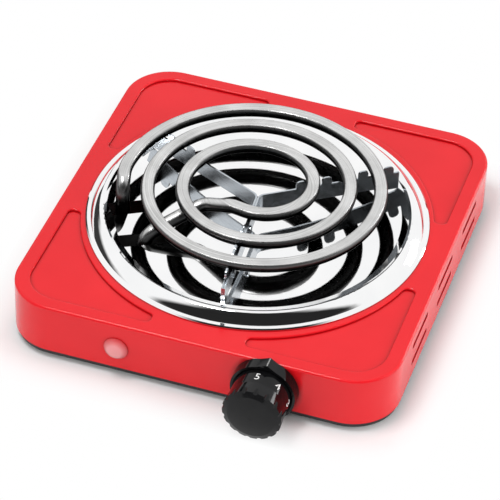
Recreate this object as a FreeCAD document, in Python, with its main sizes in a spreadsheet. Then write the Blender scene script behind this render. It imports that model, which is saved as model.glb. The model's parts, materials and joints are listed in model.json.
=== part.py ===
# Single-coil hot plate: a pressed-steel housing with a drip pan, a wound tubular heating coil on a
# three-armed support, a thermostat with its knob, a pilot lamp and the wiring between them.
# Millimetres, +Z up, the front with the knob faces -Y. The origin is under the middle of the
# whole object's outline, on the surface that it stands on.
import FreeCAD, Part
import math
import os
import types

import Sketcher
from FreeCAD import Placement, Rotation, Vector

SIZES = [
    # Housing
    ("housing_width", 225.0, "outer width of the housing"),
    ("housing_depth", 231.0, "outer depth of the housing"),
    ("housing_height", 31.2, "height of the painted housing wall"),
    ("housing_corner", 28.0, "plan radius of the housing's corners"),
    ("housing_sheet", 1.0, "sheet thickness of the housing"),
    ("housing_edge", 1.6, "rounding of the top edge"),
    ("ground_gap", 5.8, "height of the housing's lower edge over the ground"),
    ("well_radius", 90.5, "round opening under the drip pan"),
    ("panel_margin", 9.0, "from the housing's side to a corner panel"),
    ("panel_ring", 2.0, "least distance from the drip pan to a panel's hollow side"),
    ("panel_gap", 27.5, "least distance from the middle of the front to a panel's tip"),
    ("panel_tip_length", 6.4, "least length of a panel's tip"),
    ("panel_tip", 3.0, "corner radius of a panel's tips"),
    ("panel_depth", 1.6, "how far the corner panels are sunk"),
    ("panel_rounding", 1.1, "rounding of a panel's upper edge"),
    ("vent_length", 30.0, "length of a side vent"),
    ("vent_height", 3.6, "height of a side vent"),
    ("vent_corner", 1.2, "corner radius of a side vent"),
    ("vent_pitch", 52.0, "between vent columns"),
    ("vent_row_pitch", 12.0, "between the two vent rows"),
    ("vent_drop", 9.0, "upper vent row below the plate"),
    ("post_radius", 4.5, "screw post under the plate"),
    ("post_inset_x", 18.0, "post axis from the side wall"),
    ("post_inset_y", 50.0, "post axis from the front or rear wall"),
    # Base plate, feet and screws
    ("base_sheet", 1.0, "sheet thickness of the base plate"),
    ("base_lift", 2.5, "underside of the base plate over the ground"),
    ("base_rim", 7.0, "height of the base plate's upturned rim"),
    ("base_clearance", 0.3, "between the base rim and the housing wall"),
    ("base_vent_length", 40.0, "length of an air slot in the base plate"),
    ("base_vent_width", 5.0, "width of an air slot in the base plate"),
    ("base_vent_pitch", 14.0, "between the air slots"),
    ("foot_radius", 8.0, "rubber foot"),
    ("foot_taper", 0.8, "foot narrower at the ground"),
    ("foot_inset", 24.0, "foot axis from the housing's sides"),
    ("foot_stem_radius", 2.6, "foot's stem in the base plate"),
    ("foot_barb_radius", 3.8, "foot's barb above the base plate"),
    ("foot_barb_height", 2.4, "height of the foot's barb"),
    ("screw_radius", 1.5, "shank of the small screws"),
    ("screw_head_radius", 2.9, "head of the small screws"),
    ("screw_head_height", 1.8, "height of the small screws' heads"),
    ("screw_length", 8.0, "shank length of the small screws"),
    ("fit_gap", 0.05, "radial gap of a pin or screw in its hole"),
    # Drip pan
    ("pan_radius", 98.6, "outer edge of the drip pan"),
    ("pan_sheet", 0.6, "sheet thickness of the drip pan"),
    ("pan_rim_radius", 97.8, "top of the pan's turned-down rim"),
    ("pan_rim_height", 1.25, "top of the rim over the plate"),
    ("pan_lip_radius", 95.6, "inner edge of the pan's outer lip"),
    ("pan_lip_height", 1.3, "lip's inner edge over the plate"),
    ("pan_slope_radius", 90.6, "top of the outer slope"),
    ("pan_slope_height", 6.2, "top of the outer slope over the plate"),
    ("pan_slope_round", 20.0, "rounding up the outer slope"),
    ("pan_crest_radius", 88.0, "inner edge of the raised ring"),
    ("pan_crest_height", 6.3, "inner edge of the raised ring over the plate"),
    ("pan_crest_round", 2.6, "rounding across the raised ring"),
    ("pan_step_radius", 86.6, "foot of the step inside the ring"),
    ("pan_step_height", 5.3, "foot of the step over the plate"),
    ("pan_floor_radius", 82.6, "edge of the dished floor"),
    ("pan_floor_height", 3.6, "edge of the dished floor over the plate"),
    ("pan_depth", 3.2, "middle of the dished floor below the plate"),
    ("slot_width", 10.6, "slot in the pan for a coil end"),
    ("slot_length", 27.0, "length of a slot"),
    ("slot_corner", 2.0, "corner radius of a slot"),
    ("slot_reach", 8.0, "from the outer coil end to the outer end of its slot"),
    ("inner_slot_reach", 14.6, "from the inner coil end to the outer end of its slot"),
    ("slot_angle", 39.0, "direction of the slots in plan"),
    # Heating coil and its ends
    ("coil_radius", 77.2, "tube axis at the coil's outer end"),
    ("coil_pitch", 13.8, "drop in radius over the first turn"),
    ("coil_pitch_gain", 2.0, "further drop, with the turns squared"),
    ("coil_turns", 2.75, "number of turns"),
    ("coil_centre_x", -0.6, "coil centre at the outer end"),
    ("coil_centre_y", -1.4, "coil centre at the outer end"),
    ("coil_drift_x", -0.25, "movement of the coil's centre in each turn"),
    ("coil_drift_y", 1.6, "movement of the coil's centre in each turn"),
    ("coil_height", 23.0, "flat top of the coil over the plate"),
    ("tube_radius", 4.0, "heating tube"),
    ("tube_flat", 2.7, "flat top over the tube's axis"),
    ("lead_drop", 6.3, "first drop of the inner lead, before it passes under the turns"),
    ("lead_run", 8.0, "level run of the inner lead before it drops"),
    ("lead_slope", 19.0, "plan length of that drop"),
    ("lead_height", 4.0, "inner lead over the plate where it turns down"),
    ("lead_bend", 10.0, "bend radius of the leads"),
    ("outer_leg_inset", 3.9, "outer coil end inside the coil's left side"),
    ("outer_leg_y", -23.2, "outer coil end"),
    ("outer_leg_angle", -75.0, "direction in which the outer lead turns down"),
    ("inner_leg_x", -53.9, "inner coil end"),
    ("inner_leg_y", -43.5, "inner coil end"),
    ("leg_depth", 14.0, "coil ends below the plate"),
    ("seal_radius", 2.9, "ceramic end seal"),
    ("seal_length", 5.0, "length of an end seal"),
    ("pin_radius", 1.3, "terminal pin"),
    ("pin_length", 7.0, "length of a terminal pin below its seal"),
    ("connector_radius", 3.2, "connector on a pin"),
    ("connector_length", 7.0, "length of a connector"),
    ("connector_floor", 1.0, "floor of a connector under its pin"),
    ("bracket_sheet", 1.2, "thermostat bracket and coil bracket"),
    ("bracket_border", 9.0, "coil bracket round the coil ends"),
    ("bracket_lift", 1.0, "coil bracket over the end of the tube"),
    ("bracket_foot", 11.0, "foot of the coil bracket on the base plate"),
    ("nut_radius", 3.2, "small nuts, over their corners"),
    ("nut_height", 2.4, "height of the small nuts"),
    # Three-armed support
    ("arm_length", 84.5, "support arm from the burner's axis"),
    ("arm_angle", -85.0, "direction of the doubled front arm"),
    ("strip_sheet", 1.0, "thickness of a support strip"),
    ("strip_bend", 5.0, "bend at the middle of a support strip"),
    ("strip_gap", 0.2, "between the two strips of the doubled arm"),
    ("strip_foot", 8.0, "length of the foot at an arm's end"),
    ("strip_foot_drop", 1.6, "that foot below the rest of its strip"),
    ("tab_width", 6.0, "tab beside a turn of the coil"),
    ("tab_height", 5.0, "tab above its strip"),
    ("tab_corner", 2.4, "rounding of a tab"),
    ("tab_clearance", 0.7, "between a tab and the tube"),
    ("seat_gap", 0.1, "between pieces that rest on a curved face"),
    ("rivet_radius", 1.6, "rivet through the doubled arm"),
    ("rivet_head_radius", 3.0, "head of that rivet"),
    ("rivet_head_height", 1.0, "height of that head"),
    ("rivet_inner", 26.0, "inner rivet from the burner's axis"),
    ("rivet_outer", 64.0, "outer rivet from the burner's axis"),
    # Front controls
    ("control_offset", 68.9, "knob and lamp axis from the side wall"),
    ("control_drop", 17.0, "knob and lamp axis below the plate"),
    ("bezel_radius", 18.8, "knob bezel at the wall"),
    ("bezel_front_radius", 18.6, "knob bezel at its front"),
    ("bezel_length", 6.8, "bezel out of the wall"),
    ("bezel_floor", 1.5, "thickness of the bezel's floor"),
    ("bezel_rim", 1.4, "thickness of the bezel's rim"),
    ("pointer_height", 2.2, "pointer over the bezel"),
    ("pointer_width", 18.0, "width of the pointer's foot"),
    ("pointer_angle", 5.4, "pointer, clockwise from the top"),
    ("knob_gap", 0.6, "between knob and bezel"),
    ("knob_lift", 1.5, "between knob and the bezel's floor"),
    ("knob_cone_radius", 16.3, "front end of the knob's numbered cone"),
    ("knob_cone", 13.5, "length of the numbered cone"),
    ("knob_grip_radius", 16.9, "knob at the front of its grip"),
    ("knob_edge", 1.5, "slanted edge round the front of the grip"),
    ("knob_reach", 28.0, "front of the knob from the wall"),
    ("knob_cap_radius", 13.6, "domed cap of the knob"),
    ("knob_dome", 1.4, "height of the dome"),
    ("knob_wall", 2.4, "wall of the hollow knob"),
    ("knob_hub_radius", 6.0, "hub inside the knob"),
    ("knob_hub_gap", 1.0, "hub behind the knob's edge"),
    ("flute_count", 16.0, "flutes round the grip"),
    ("flute_radius", 1.6, "radius of a flute"),
    ("flute_depth", 1.5, "depth of a flute at the front of the knob"),
    ("flute_slant", 10.0, "slope of a flute towards the front"),
    ("dial_angle", -5.4, "middle of the dial, clockwise from the top"),
    ("spindle_radius", 3.0, "thermostat spindle"),
    ("spindle_flat", 1.5, "flat of the spindle from its axis"),
    ("spindle_seat", 12.0, "length of the spindle in the knob"),
    ("spindle_gap", 0.3, "between the spindle and the blade that it sets"),
    ("collar_radius", 5.0, "collar of the spindle"),
    ("collar_length", 2.5, "length of that collar"),
    ("collar_gap", 0.1, "between that collar and the bush"),
    ("running_gap", 0.05, "radial gap of the spindle in its bush"),
    ("clip_sheet", 0.5, "spring clip in the knob"),
    ("clip_length", 9.0, "length of that clip"),
    ("clip_width", 3.4, "width of that clip"),
    ("bush_radius", 4.8, "brass bush of the spindle"),
    ("bush_flange_radius", 7.0, "flange of that bush"),
    ("bush_flange_sheet", 1.5, "thickness of that flange"),
    ("bush_inside", 10.0, "bush behind the wall"),
    ("lens_radius", 7.0, "pilot lens"),
    ("lens_rim", 0.8, "rim of the lens"),
    ("lens_dome", 3.6, "height of the lens over its rim"),
    ("lens_barrel_radius", 5.0, "barrel of the lens in the wall"),
    ("lens_barrel_length", 12.0, "barrel behind the wall"),
    ("lens_wall", 1.2, "wall of the lens"),
    # Thermostat
    ("bracket_left", 20.0, "thermostat bracket to the left of the spindle"),
    ("bracket_right", 32.0, "thermostat bracket to the right of the spindle"),
    ("bracket_rise", 8.0, "thermostat bracket above the spindle"),
    ("bracket_gap", 1.0, "thermostat bracket over the base plate's rim"),
    ("bracket_depth", 15.0, "from the wall to the bracket's rear flange"),
    ("bracket_flange", 16.0, "width of the rear flange"),
    ("bezel_screw_offset", 11.0, "bezel screws from the spindle"),
    ("stack_width", 13.0, "width of a ceramic block of the thermostat"),
    ("stack_border", 1.5, "ceramic block over a blade's edges"),
    ("stack_block", 4.0, "thickness of a ceramic block"),
    ("blade_sheet", 0.5, "thickness of the thermostat's blades"),
    ("blade_width", 8.0, "height of the blades"),
    ("blade_overhang", 12.0, "blades past the spindle"),
    ("blade_hole_gap", 1.0, "free room of the rivet in the blades"),
    ("contact_radius", 2.0, "contact button"),
    ("contact_offset", 7.0, "contact buttons from the spindle"),
    ("contact_gap", 0.2, "between the contact buttons"),
    ("terminal_reach", 6.0, "rear blade past the ceramic blocks"),
    ("terminal_pitch", 8.0, "front blade past the rear one"),
    ("barrel_radius", 2.2, "crimp barrel of a blade"),
    ("barrel_length", 7.0, "length of a crimp barrel"),
    ("wire_grip", 5.0, "length of wire in a barrel"),
    # Pilot lamp
    ("holder_grip", 6.0, "lens barrel in the lamp holder"),
    ("holder_length", 16.0, "length of the lamp holder"),
    ("holder_wall", 1.4, "wall of the lamp holder"),
    ("bulb_radius", 2.6, "neon bulb"),
    ("bulb_length", 11.0, "length of the bulb"),
    ("bulb_seat", 5.0, "bulb in the lamp holder"),
    ("lead_offset", 3.0, "lamp leads from the lamp's axis"),
    ("lead_seat", 3.0, "lamp leads in the holder"),
    ("ring_radius", 7.6, "retaining ring of the lens"),
    ("ring_sheet", 0.8, "thickness of that ring"),
    # Supply
    ("gland_offset", 52.5, "cord gland from the right side wall"),
    ("gland_bore", 3.6, "bore of the gland"),
    ("gland_neck", 6.0, "neck of the gland in the wall"),
    ("gland_flange", 9.0, "flange of the gland"),
    ("gland_reach", 5.0, "gland out of the wall"),
    ("gland_inside", 3.0, "gland behind the wall"),
    ("block_length", 42.0, "terminal block"),
    ("block_width", 18.0, "terminal block"),
    ("block_cover", 4.0, "terminal block over its wires' axis"),
    ("block_setback", 34.0, "terminal block from the rear wall"),
    ("block_pitch", 12.0, "between the ways of the block"),
    ("way_radius", 2.0, "wire hole of a way"),
    ("earth_x", 12.0, "earth screw"),
    ("earth_setback", 34.0, "earth screw from the rear wall"),
    ("tag_sheet", 0.8, "earth tag"),
    ("tag_radius", 3.6, "ring of the earth tag"),
    ("tag_length", 8.0, "from the earth screw to the tag's barrel"),
    ("clamp_radius", 1.5, "clamp screw of the terminal block"),
    ("clamp_rise", 0.6, "clamp screw over the terminal block"),
    ("wire_radius", 1.2, "insulated wire"),
    ("wire_bend", 6.0, "bend radius of a wire"),
]

doc = FreeCAD.newDocument("HotPlate")
sheet = doc.addObject("Spreadsheet::Sheet", "Sizes")


class Size:
    """A length or angle, with the sheet expression that drives it."""

    def __init__(self, value, text):
        self.value = float(value)
        self.text = text

    @staticmethod
    def of(other):
        return other if isinstance(other, Size) else Size(other, "(%r)" % float(other))

    def __add__(self, other):
        other = Size.of(other)
        return Size(self.value + other.value, "(%s + %s)" % (self.text, other.text))

    def __sub__(self, other):
        other = Size.of(other)
        return Size(self.value - other.value, "(%s - %s)" % (self.text, other.text))

    def __mul__(self, other):
        other = Size.of(other)
        return Size(self.value * other.value, "(%s * %s)" % (self.text, other.text))

    def __truediv__(self, other):
        other = Size.of(other)
        return Size(self.value / other.value, "(%s / %s)" % (self.text, other.text))

    def __neg__(self):
        return Size(-self.value, "(-1 * %s)" % self.text)

    def __radd__(self, other):
        return Size.of(other) + self

    def __rsub__(self, other):
        return Size.of(other) - self

    def __rmul__(self, other):
        return Size.of(other) * self


def least(first, second):
    first, second = Size.of(first), Size.of(second)
    return Size(min(first.value, second.value), "min(%s; %s)" % (first.text, second.text))


def most(first, second):
    first, second = Size.of(first), Size.of(second)
    return Size(max(first.value, second.value), "max(%s; %s)" % (first.text, second.text))


def root(size):
    return Size(math.sqrt(size.value), "sqrt(%s)" % size.text)


def cap_round(radius, height):
    """Radius of the arc of a dome, from its edge radius and its height."""
    return (radius * radius + height * height) / (height * 2)


def fill_sheet():
    """Write the driving dimensions into the sheet and return them by name."""
    named = {}
    for row, (alias, value, note) in enumerate(SIZES, 1):
        sheet.set("A%d" % row, alias)
        sheet.set("B%d" % row, str(value))
        sheet.set("C%d" % row, note)
        sheet.setAlias("B%d" % row, alias)
        named[alias] = Size(value, "Sizes.%s" % alias)
    doc.recompute()
    return types.SimpleNamespace(**named)


s = fill_sheet()
ZERO = Size(0, "0")
parts = {}

# Places that several pieces share
middle_y = (s.knob_reach - s.gland_reach) / 2
plate_z = s.ground_gap + s.housing_height
plate_under_z = plate_z - s.housing_sheet
base_top_z = s.base_lift + s.base_sheet
front_y = -s.housing_depth / 2
front_inside_y = front_y + s.housing_sheet
rear_y = s.housing_depth / 2
control_z = plate_z - s.control_drop
knob_x = s.housing_width / 2 - s.control_offset
lamp_x = -knob_x
gland_x = s.housing_width / 2 - s.gland_offset
coil_axis_z = plate_z + s.coil_height - s.tube_flat
leg_end_z = plate_z - s.leg_depth
pin_end_z = leg_end_z - s.seal_length - s.pin_length
wire_z = pin_end_z - s.connector_floor + s.connector_length / 2

# Local +Z turned to the ways that pieces point
FORWARD = Rotation(Vector(1, 0, 0), 90)
BACKWARD = Rotation(Vector(1, 0, 0), -90)
RIGHTWARD = Rotation(Vector(0, 1, 0), 90)
UPWARD = Rotation()


def bind(obj, prop, size):
    obj.setExpression(prop, Size.of(size).text)


def place(obj, x, y, z, turn=UPWARD):
    """Put an object at a point given from the burner's axis, turned as asked."""
    obj.Placement = Placement(Vector(0, 0, 0), turn)
    bind(obj, "Placement.Base.x", x)
    bind(obj, "Placement.Base.y", middle_y + y)
    bind(obj, "Placement.Base.z", z)
    return obj


def keep(obj, label):
    """Register an object as a sub-part under its own label."""
    obj.Label = label
    parts[label] = obj
    return obj


# Sketches and PartDesign features

def new_body(label, x=ZERO, y=ZERO, z=ZERO, turn=UPWARD):
    body = doc.addObject("PartDesign::Body", label)
    place(body, x, y, z, turn)
    return keep(body, label)


def origin_feature(body, role):
    return [feature for feature in body.Origin.OriginFeatures if feature.Role == role][0]


def new_sketch(body, name, role="XY_Plane", lift=None, x=None, y=None, angle=None, about=Vector(0, 0, 1)):
    """A sketch on one of the body's own planes, lifted, moved and turned as asked."""
    sketch = body.newObject("Sketcher::SketchObject", name)
    sketch.AttachmentSupport = (origin_feature(body, role), [""])
    sketch.MapMode = "FlatFace"
    if angle is not None:
        sketch.AttachmentOffset = Placement(Vector(0, 0, 0), Rotation(about, 1))
        bind(sketch, "AttachmentOffset.Rotation.Angle", angle)
    for prop, size in (("x", x), ("y", y), ("z", lift)):
        if size is not None:
            bind(sketch, "AttachmentOffset.Base.%s" % prop, size)
    return sketch


def fix_point(sketch, geometry, position, x, y):
    for kind, size in (("DistanceX", x), ("DistanceY", y)):
        size = Size.of(size)
        index = sketch.addConstraint(
            Sketcher.Constraint(kind, -1, 1, geometry, position, size.value))
        sketch.setExpression("Constraints[%d]" % index, size.text)


def fix_radius(sketch, geometry, radius):
    index = sketch.addConstraint(Sketcher.Constraint("Radius", geometry, Size.of(radius).value))
    sketch.setExpression("Constraints[%d]" % index, Size.of(radius).text)


def draw_circle(sketch, x, y, radius):
    centre = Vector(Size.of(x).value, Size.of(y).value, 0)
    circle = Part.Circle(centre, Vector(0, 0, 1), Size.of(radius).value)
    geometry = sketch.addGeometry(circle, False)
    fix_point(sketch, geometry, 3, x, y)
    fix_radius(sketch, geometry, radius)


def arc_between(start, end, radius, left):
    """The short arc from start to end, turning left or right."""
    chord = end - start
    rise = math.sqrt(max(radius ** 2 - (chord.Length / 2) ** 2, 0.0))
    across = Vector(-chord.y, chord.x, 0).normalize() * (rise if left else -rise)
    centre = (start + end) / 2 + across
    first, last = (start, end) if left else (end, start)
    angles = [math.atan2(p.y - centre.y, p.x - centre.x) for p in (first, last)]
    circle = Part.Circle(centre, Vector(0, 0, 1), radius)
    return Part.ArcOfCircle(circle, angles[0], angles[1])


def draw_outline(sketch, points, arcs=None):
    """A closed outline through points. arcs gives (radius, turns left) by the index of a side."""
    arcs = arcs or {}
    points = [(Size.of(x), Size.of(y)) for x, y in points]
    places = [Vector(x.value, y.value, 0) for x, y in points]
    ends = []
    for index, start in enumerate(places):
        end = places[(index + 1) % len(places)]
        if index in arcs:
            radius, left = arcs[index]
            radius = Size.of(radius)
            geometry = sketch.addGeometry(arc_between(start, end, radius.value, left), False)
            ends.append((geometry, 1, 2) if left else (geometry, 2, 1))
        else:
            geometry = sketch.addGeometry(Part.LineSegment(start, end), False)
            ends.append((geometry, 1, 2))
    for index, (geometry, first, last) in enumerate(ends):
        following = ends[(index + 1) % len(ends)]
        sketch.addConstraint(
            Sketcher.Constraint("Coincident", geometry, last, following[0], following[1]))
        fix_point(sketch, geometry, first, *points[index])
    for index, (radius, left) in arcs.items():
        fix_radius(sketch, ends[index][0], radius)


def draw_rectangle(sketch, width, depth, corner=None, x=ZERO, y=ZERO):
    """A rectangle about a point, with rounded corners if a radius is given."""
    half_width = Size.of(width) / 2
    half_depth = Size.of(depth) / 2
    if corner is None:
        draw_outline(sketch, [(x - half_width, y - half_depth), (x + half_width, y - half_depth),
                              (x + half_width, y + half_depth), (x - half_width, y + half_depth)])
        return
    inner_x = half_width - corner
    inner_y = half_depth - corner
    points = [
        (x - inner_x, y - half_depth), (x + inner_x, y - half_depth),
        (x + half_width, y - inner_y), (x + half_width, y + inner_y),
        (x + inner_x, y + half_depth), (x - inner_x, y + half_depth),
        (x - half_width, y + inner_y), (x - half_width, y - inner_y),
    ]
    draw_outline(sketch, points, {side: (corner, True) for side in (1, 3, 5, 7)})


def pad(body, sketch, length, down=False):
    feature = body.newObject("PartDesign::Pad", sketch.Name + "Pad")
    feature.Profile = sketch
    feature.Reversed = down
    bind(feature, "Length", length)
    sketch.Visibility = False
    doc.recompute()
    return feature


def pocket(body, sketch, length=None, along_normal=False, both_ways=False):
    """Cut a sketch away: against its normal, or along it, to a depth or through all."""
    before = body.Shape.Volume
    feature = body.newObject("PartDesign::Pocket", sketch.Name + "Pocket")
    feature.Profile = sketch
    feature.Reversed = along_normal
    if both_ways:
        feature.SideType = "Symmetric"
    if length is None:
        feature.Type = "ThroughAll"
    else:
        bind(feature, "Length", length)
    doc.recompute()
    if body.Shape.Volume > before - 1e-6:
        raise RuntimeError("%s cuts nothing from %s" % (sketch.Name, body.Label))
    return feature


def revolve(body, sketch):
    feature = body.newObject("PartDesign::Revolution", sketch.Name + "Turned")
    feature.Profile = sketch
    feature.ReferenceAxis = (sketch, ["V_Axis"])
    feature.Angle = 360
    doc.recompute()
    return feature


def round_edges(body, radius, chosen):
    """Fillet the edges of the body's last feature that the chosen test picks."""
    base = body.Tip
    names = ["Edge%d" % number for number, edge in enumerate(base.Shape.Edges, 1) if chosen(edge)]
    if not names:
        raise RuntimeError("no edge to round on %s" % body.Label)
    feature = body.newObject("PartDesign::Fillet", base.Name + "Rounded")
    feature.Base = (base, names)
    bind(feature, "Radius", radius)
    doc.recompute()
    return feature


def level(edge, height):
    """True for an edge that lies level at a height."""
    box = edge.BoundBox
    return box.ZLength < 1e-4 and abs(box.ZMin - height) < 1e-4


# Part primitives and booleans

def box(name, length, width, height, x, y, z):
    """A box whose lowest corner is at a point given from the burner's axis."""
    obj = doc.addObject("Part::Box", name)
    for prop, size in (("Length", length), ("Width", width), ("Height", height)):
        bind(obj, prop, size)
    return place(obj, x, y, z)


def cylinder(name, radius, height, x, y, z, turn=UPWARD):
    obj = doc.addObject("Part::Cylinder", name)
    bind(obj, "Radius", radius)
    bind(obj, "Height", height)
    return place(obj, x, y, z, turn)


def cut(name, base, *tools):
    obj = base
    for number, tool in enumerate(tools, 1):
        whole = doc.addObject("Part::Cut", "%s_cut%d" % (name, number))
        whole.Base = obj
        whole.Tool = tool
        obj = whole
    return obj


def fuse(name, *pieces):
    obj = doc.addObject("Part::MultiFuse", name + "_whole")
    obj.Shapes = list(pieces)
    obj.Refine = True
    return obj


def group(label, pieces):
    """Separate identical solids that share one node."""
    obj = doc.addObject("Part::Compound", label)
    obj.Links = list(pieces)
    return keep(obj, label)


def screw(name, x, y, z, turn, length=None):
    """A pan-head screw, with its head's seat at a point and its shank the turned +Z way."""
    way = turn.multVec(Vector(0, 0, 1))
    head_back = [s.screw_head_height * -axis for axis in (way.x, way.y, way.z)]
    head = cylinder(name + "_head", s.screw_head_radius, s.screw_head_height,
                    x + head_back[0], y + head_back[1], z + head_back[2], turn)
    shank = cylinder(name + "_shank", s.screw_radius, length or s.screw_length, x, y, z, turn)
    return fuse(name, head, shank)


# Paths of lines and tangent arcs

def here(x, y, z):
    """A point given from the burner's axis, in the object's frame."""
    return Vector(Size.of(x).value, (middle_y + y).value, Size.of(z).value)


def arc_from_tangent(start, tangent, end):
    """The arc that leaves start along tangent and reaches end, in a level plane."""
    chord = end - start
    across = Vector(-tangent.y, tangent.x, 0)
    centre = start + across * (chord.dot(chord) / (2 * across.dot(chord)))
    half = ((start - centre) + (end - centre)).normalize()
    return Part.Arc(start, centre + half * (start - centre).Length, end).toShape()


def biarc(start, leaving, end, arriving):
    """Two tangent arcs from start to end with the given directions at both ends."""
    chord = end - start
    both = leaving + arriving
    spread = 2 * (1 - leaving.dot(arriving))
    reach = (-chord.dot(both) + math.sqrt(chord.dot(both) ** 2 + spread * chord.dot(chord))) / spread
    joint = (start + leaving * reach + end - arriving * reach) / 2
    first = arc_from_tangent(start, leaving, joint)
    second = arc_from_tangent(end, -arriving, joint)
    return [first, second]


def rounded_route(points, radius):
    """Straight runs through points, with each corner rounded by a tangent arc."""
    edges = []
    last = points[0]
    for before, corner, after in zip(points, points[1:], points[2:]):
        arriving = (corner - before).normalize()
        leaving = (after - corner).normalize()
        turn = arriving.getAngle(leaving)
        reach = radius * math.tan(turn / 2)
        start = corner - arriving * reach
        end = corner + leaving * reach
        inward = (leaving - arriving).normalize()
        middle = corner + inward * (radius / math.cos(turn / 2) - radius)
        if (start - last).Length > 1e-6:
            edges.append(Part.LineSegment(last, start).toShape())
        edges.append(Part.Arc(start, middle, end).toShape())
        last = end
    edges.append(Part.LineSegment(last, points[-1]).toShape())
    return edges


def tube_along(edges, radius):
    """A round tube along a tangent path, with its volume compared with section times length."""
    path = Part.Wire(Part.__sortEdges__(edges))
    first = path.OrderedEdges[0]
    start = first.valueAt(first.FirstParameter)
    way = first.tangentAt(first.FirstParameter)
    if (path.OrderedVertexes[0].Point - start).Length > 1e-6:
        start = first.valueAt(first.LastParameter)
        way = -first.tangentAt(first.LastParameter)
    section = Part.Wire(Part.Circle(start, way, radius).toShape())
    tube = path.makePipeShell([section], True, False)
    expected = math.pi * radius ** 2 * path.Length
    if abs(tube.Volume / expected - 1) > 0.01:
        raise RuntimeError("tube volume %.1f differs from %.1f" % (tube.Volume, expected))
    return tube, path


def shape_part(label, shape):
    obj = doc.addObject("Part::Feature", label)
    obj.Shape = shape
    obj.Placement = Placement()
    return keep(obj, label)


# Housing and base

def corner_signs():
    return [(x, y) for y in (-1, 1) for x in (-1, 1)]


def post_places():
    return [((s.housing_width / 2 - s.post_inset_x) * x, (s.housing_depth / 2 - s.post_inset_y) * y)
            for x, y in corner_signs()]


def foot_places():
    return [((s.housing_width / 2 - s.foot_inset) * x, (s.housing_depth / 2 - s.foot_inset) * y)
            for x, y in corner_signs()]


def panel_sides():
    return s.housing_width / 2 - s.panel_margin, s.housing_depth / 2 - s.panel_margin


def panel_shift():
    """From the burner's axis to the middle of a hollow side, so that each panel is even about its corner."""
    return (s.housing_depth - s.housing_width) / 2


def panel_tips():
    """From the centre lines to a panel's two tips, which keep their least length."""
    arc = s.pan_radius + s.panel_ring
    short = panel_sides()[0] - s.panel_tip_length
    tip = most(s.panel_gap, root(most(arc * arc - short * short, 0)))
    return tip, tip + panel_shift()


def panel_outline(sketch, sign_x, sign_y, grow):
    """One sunk corner panel: two straight sides along the walls and a hollow side round the pan."""
    side_x, side_y = [side + grow for side in panel_sides()]
    tip_x, tip_y = [tip - grow for tip in panel_tips()]
    corner = s.housing_corner - s.panel_margin + grow
    arc = s.pan_radius + s.panel_ring - grow
    reach_y = tip_y - panel_shift()
    points = [(tip_x, side_y), (tip_x, panel_shift() + root(arc * arc - tip_x * tip_x)),
              (root(arc * arc - reach_y * reach_y), tip_y), (side_x, tip_y),
              (side_x, side_y - corner), (side_x - corner, side_y)]
    mirrored = sign_x * sign_y < 0
    points = [(x * sign_x, y * sign_y) for x, y in points]
    draw_outline(sketch, points, {1: (arc, mirrored), 4: (corner, not mirrored)})


def at_panel_tip(edge):
    """True for an upright edge at one of the panels' tips."""
    box = edge.BoundBox
    if box.XLength > 1e-4 or box.YLength > 1e-4 or box.ZMax < s.housing_height.value - 1e-4:
        return False
    tip_x, tip_y = panel_tips()
    corner = edge.Vertexes[0]
    return abs(abs(corner.X) - tip_x.value) < 1e-3 or abs(abs(corner.Y) - tip_y.value) < 1e-3


def at_panel_top(edge):
    """True for an edge of a sunk panel at the height of the plate."""
    box = edge.BoundBox
    side_x, side_y = panel_sides()
    return level(edge, s.housing_height.value) \
        and max(abs(box.XMin), abs(box.XMax)) < side_x.value + 1e-3 \
        and max(abs(box.YMin), abs(box.YMax)) < side_y.value + 1e-3


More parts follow.
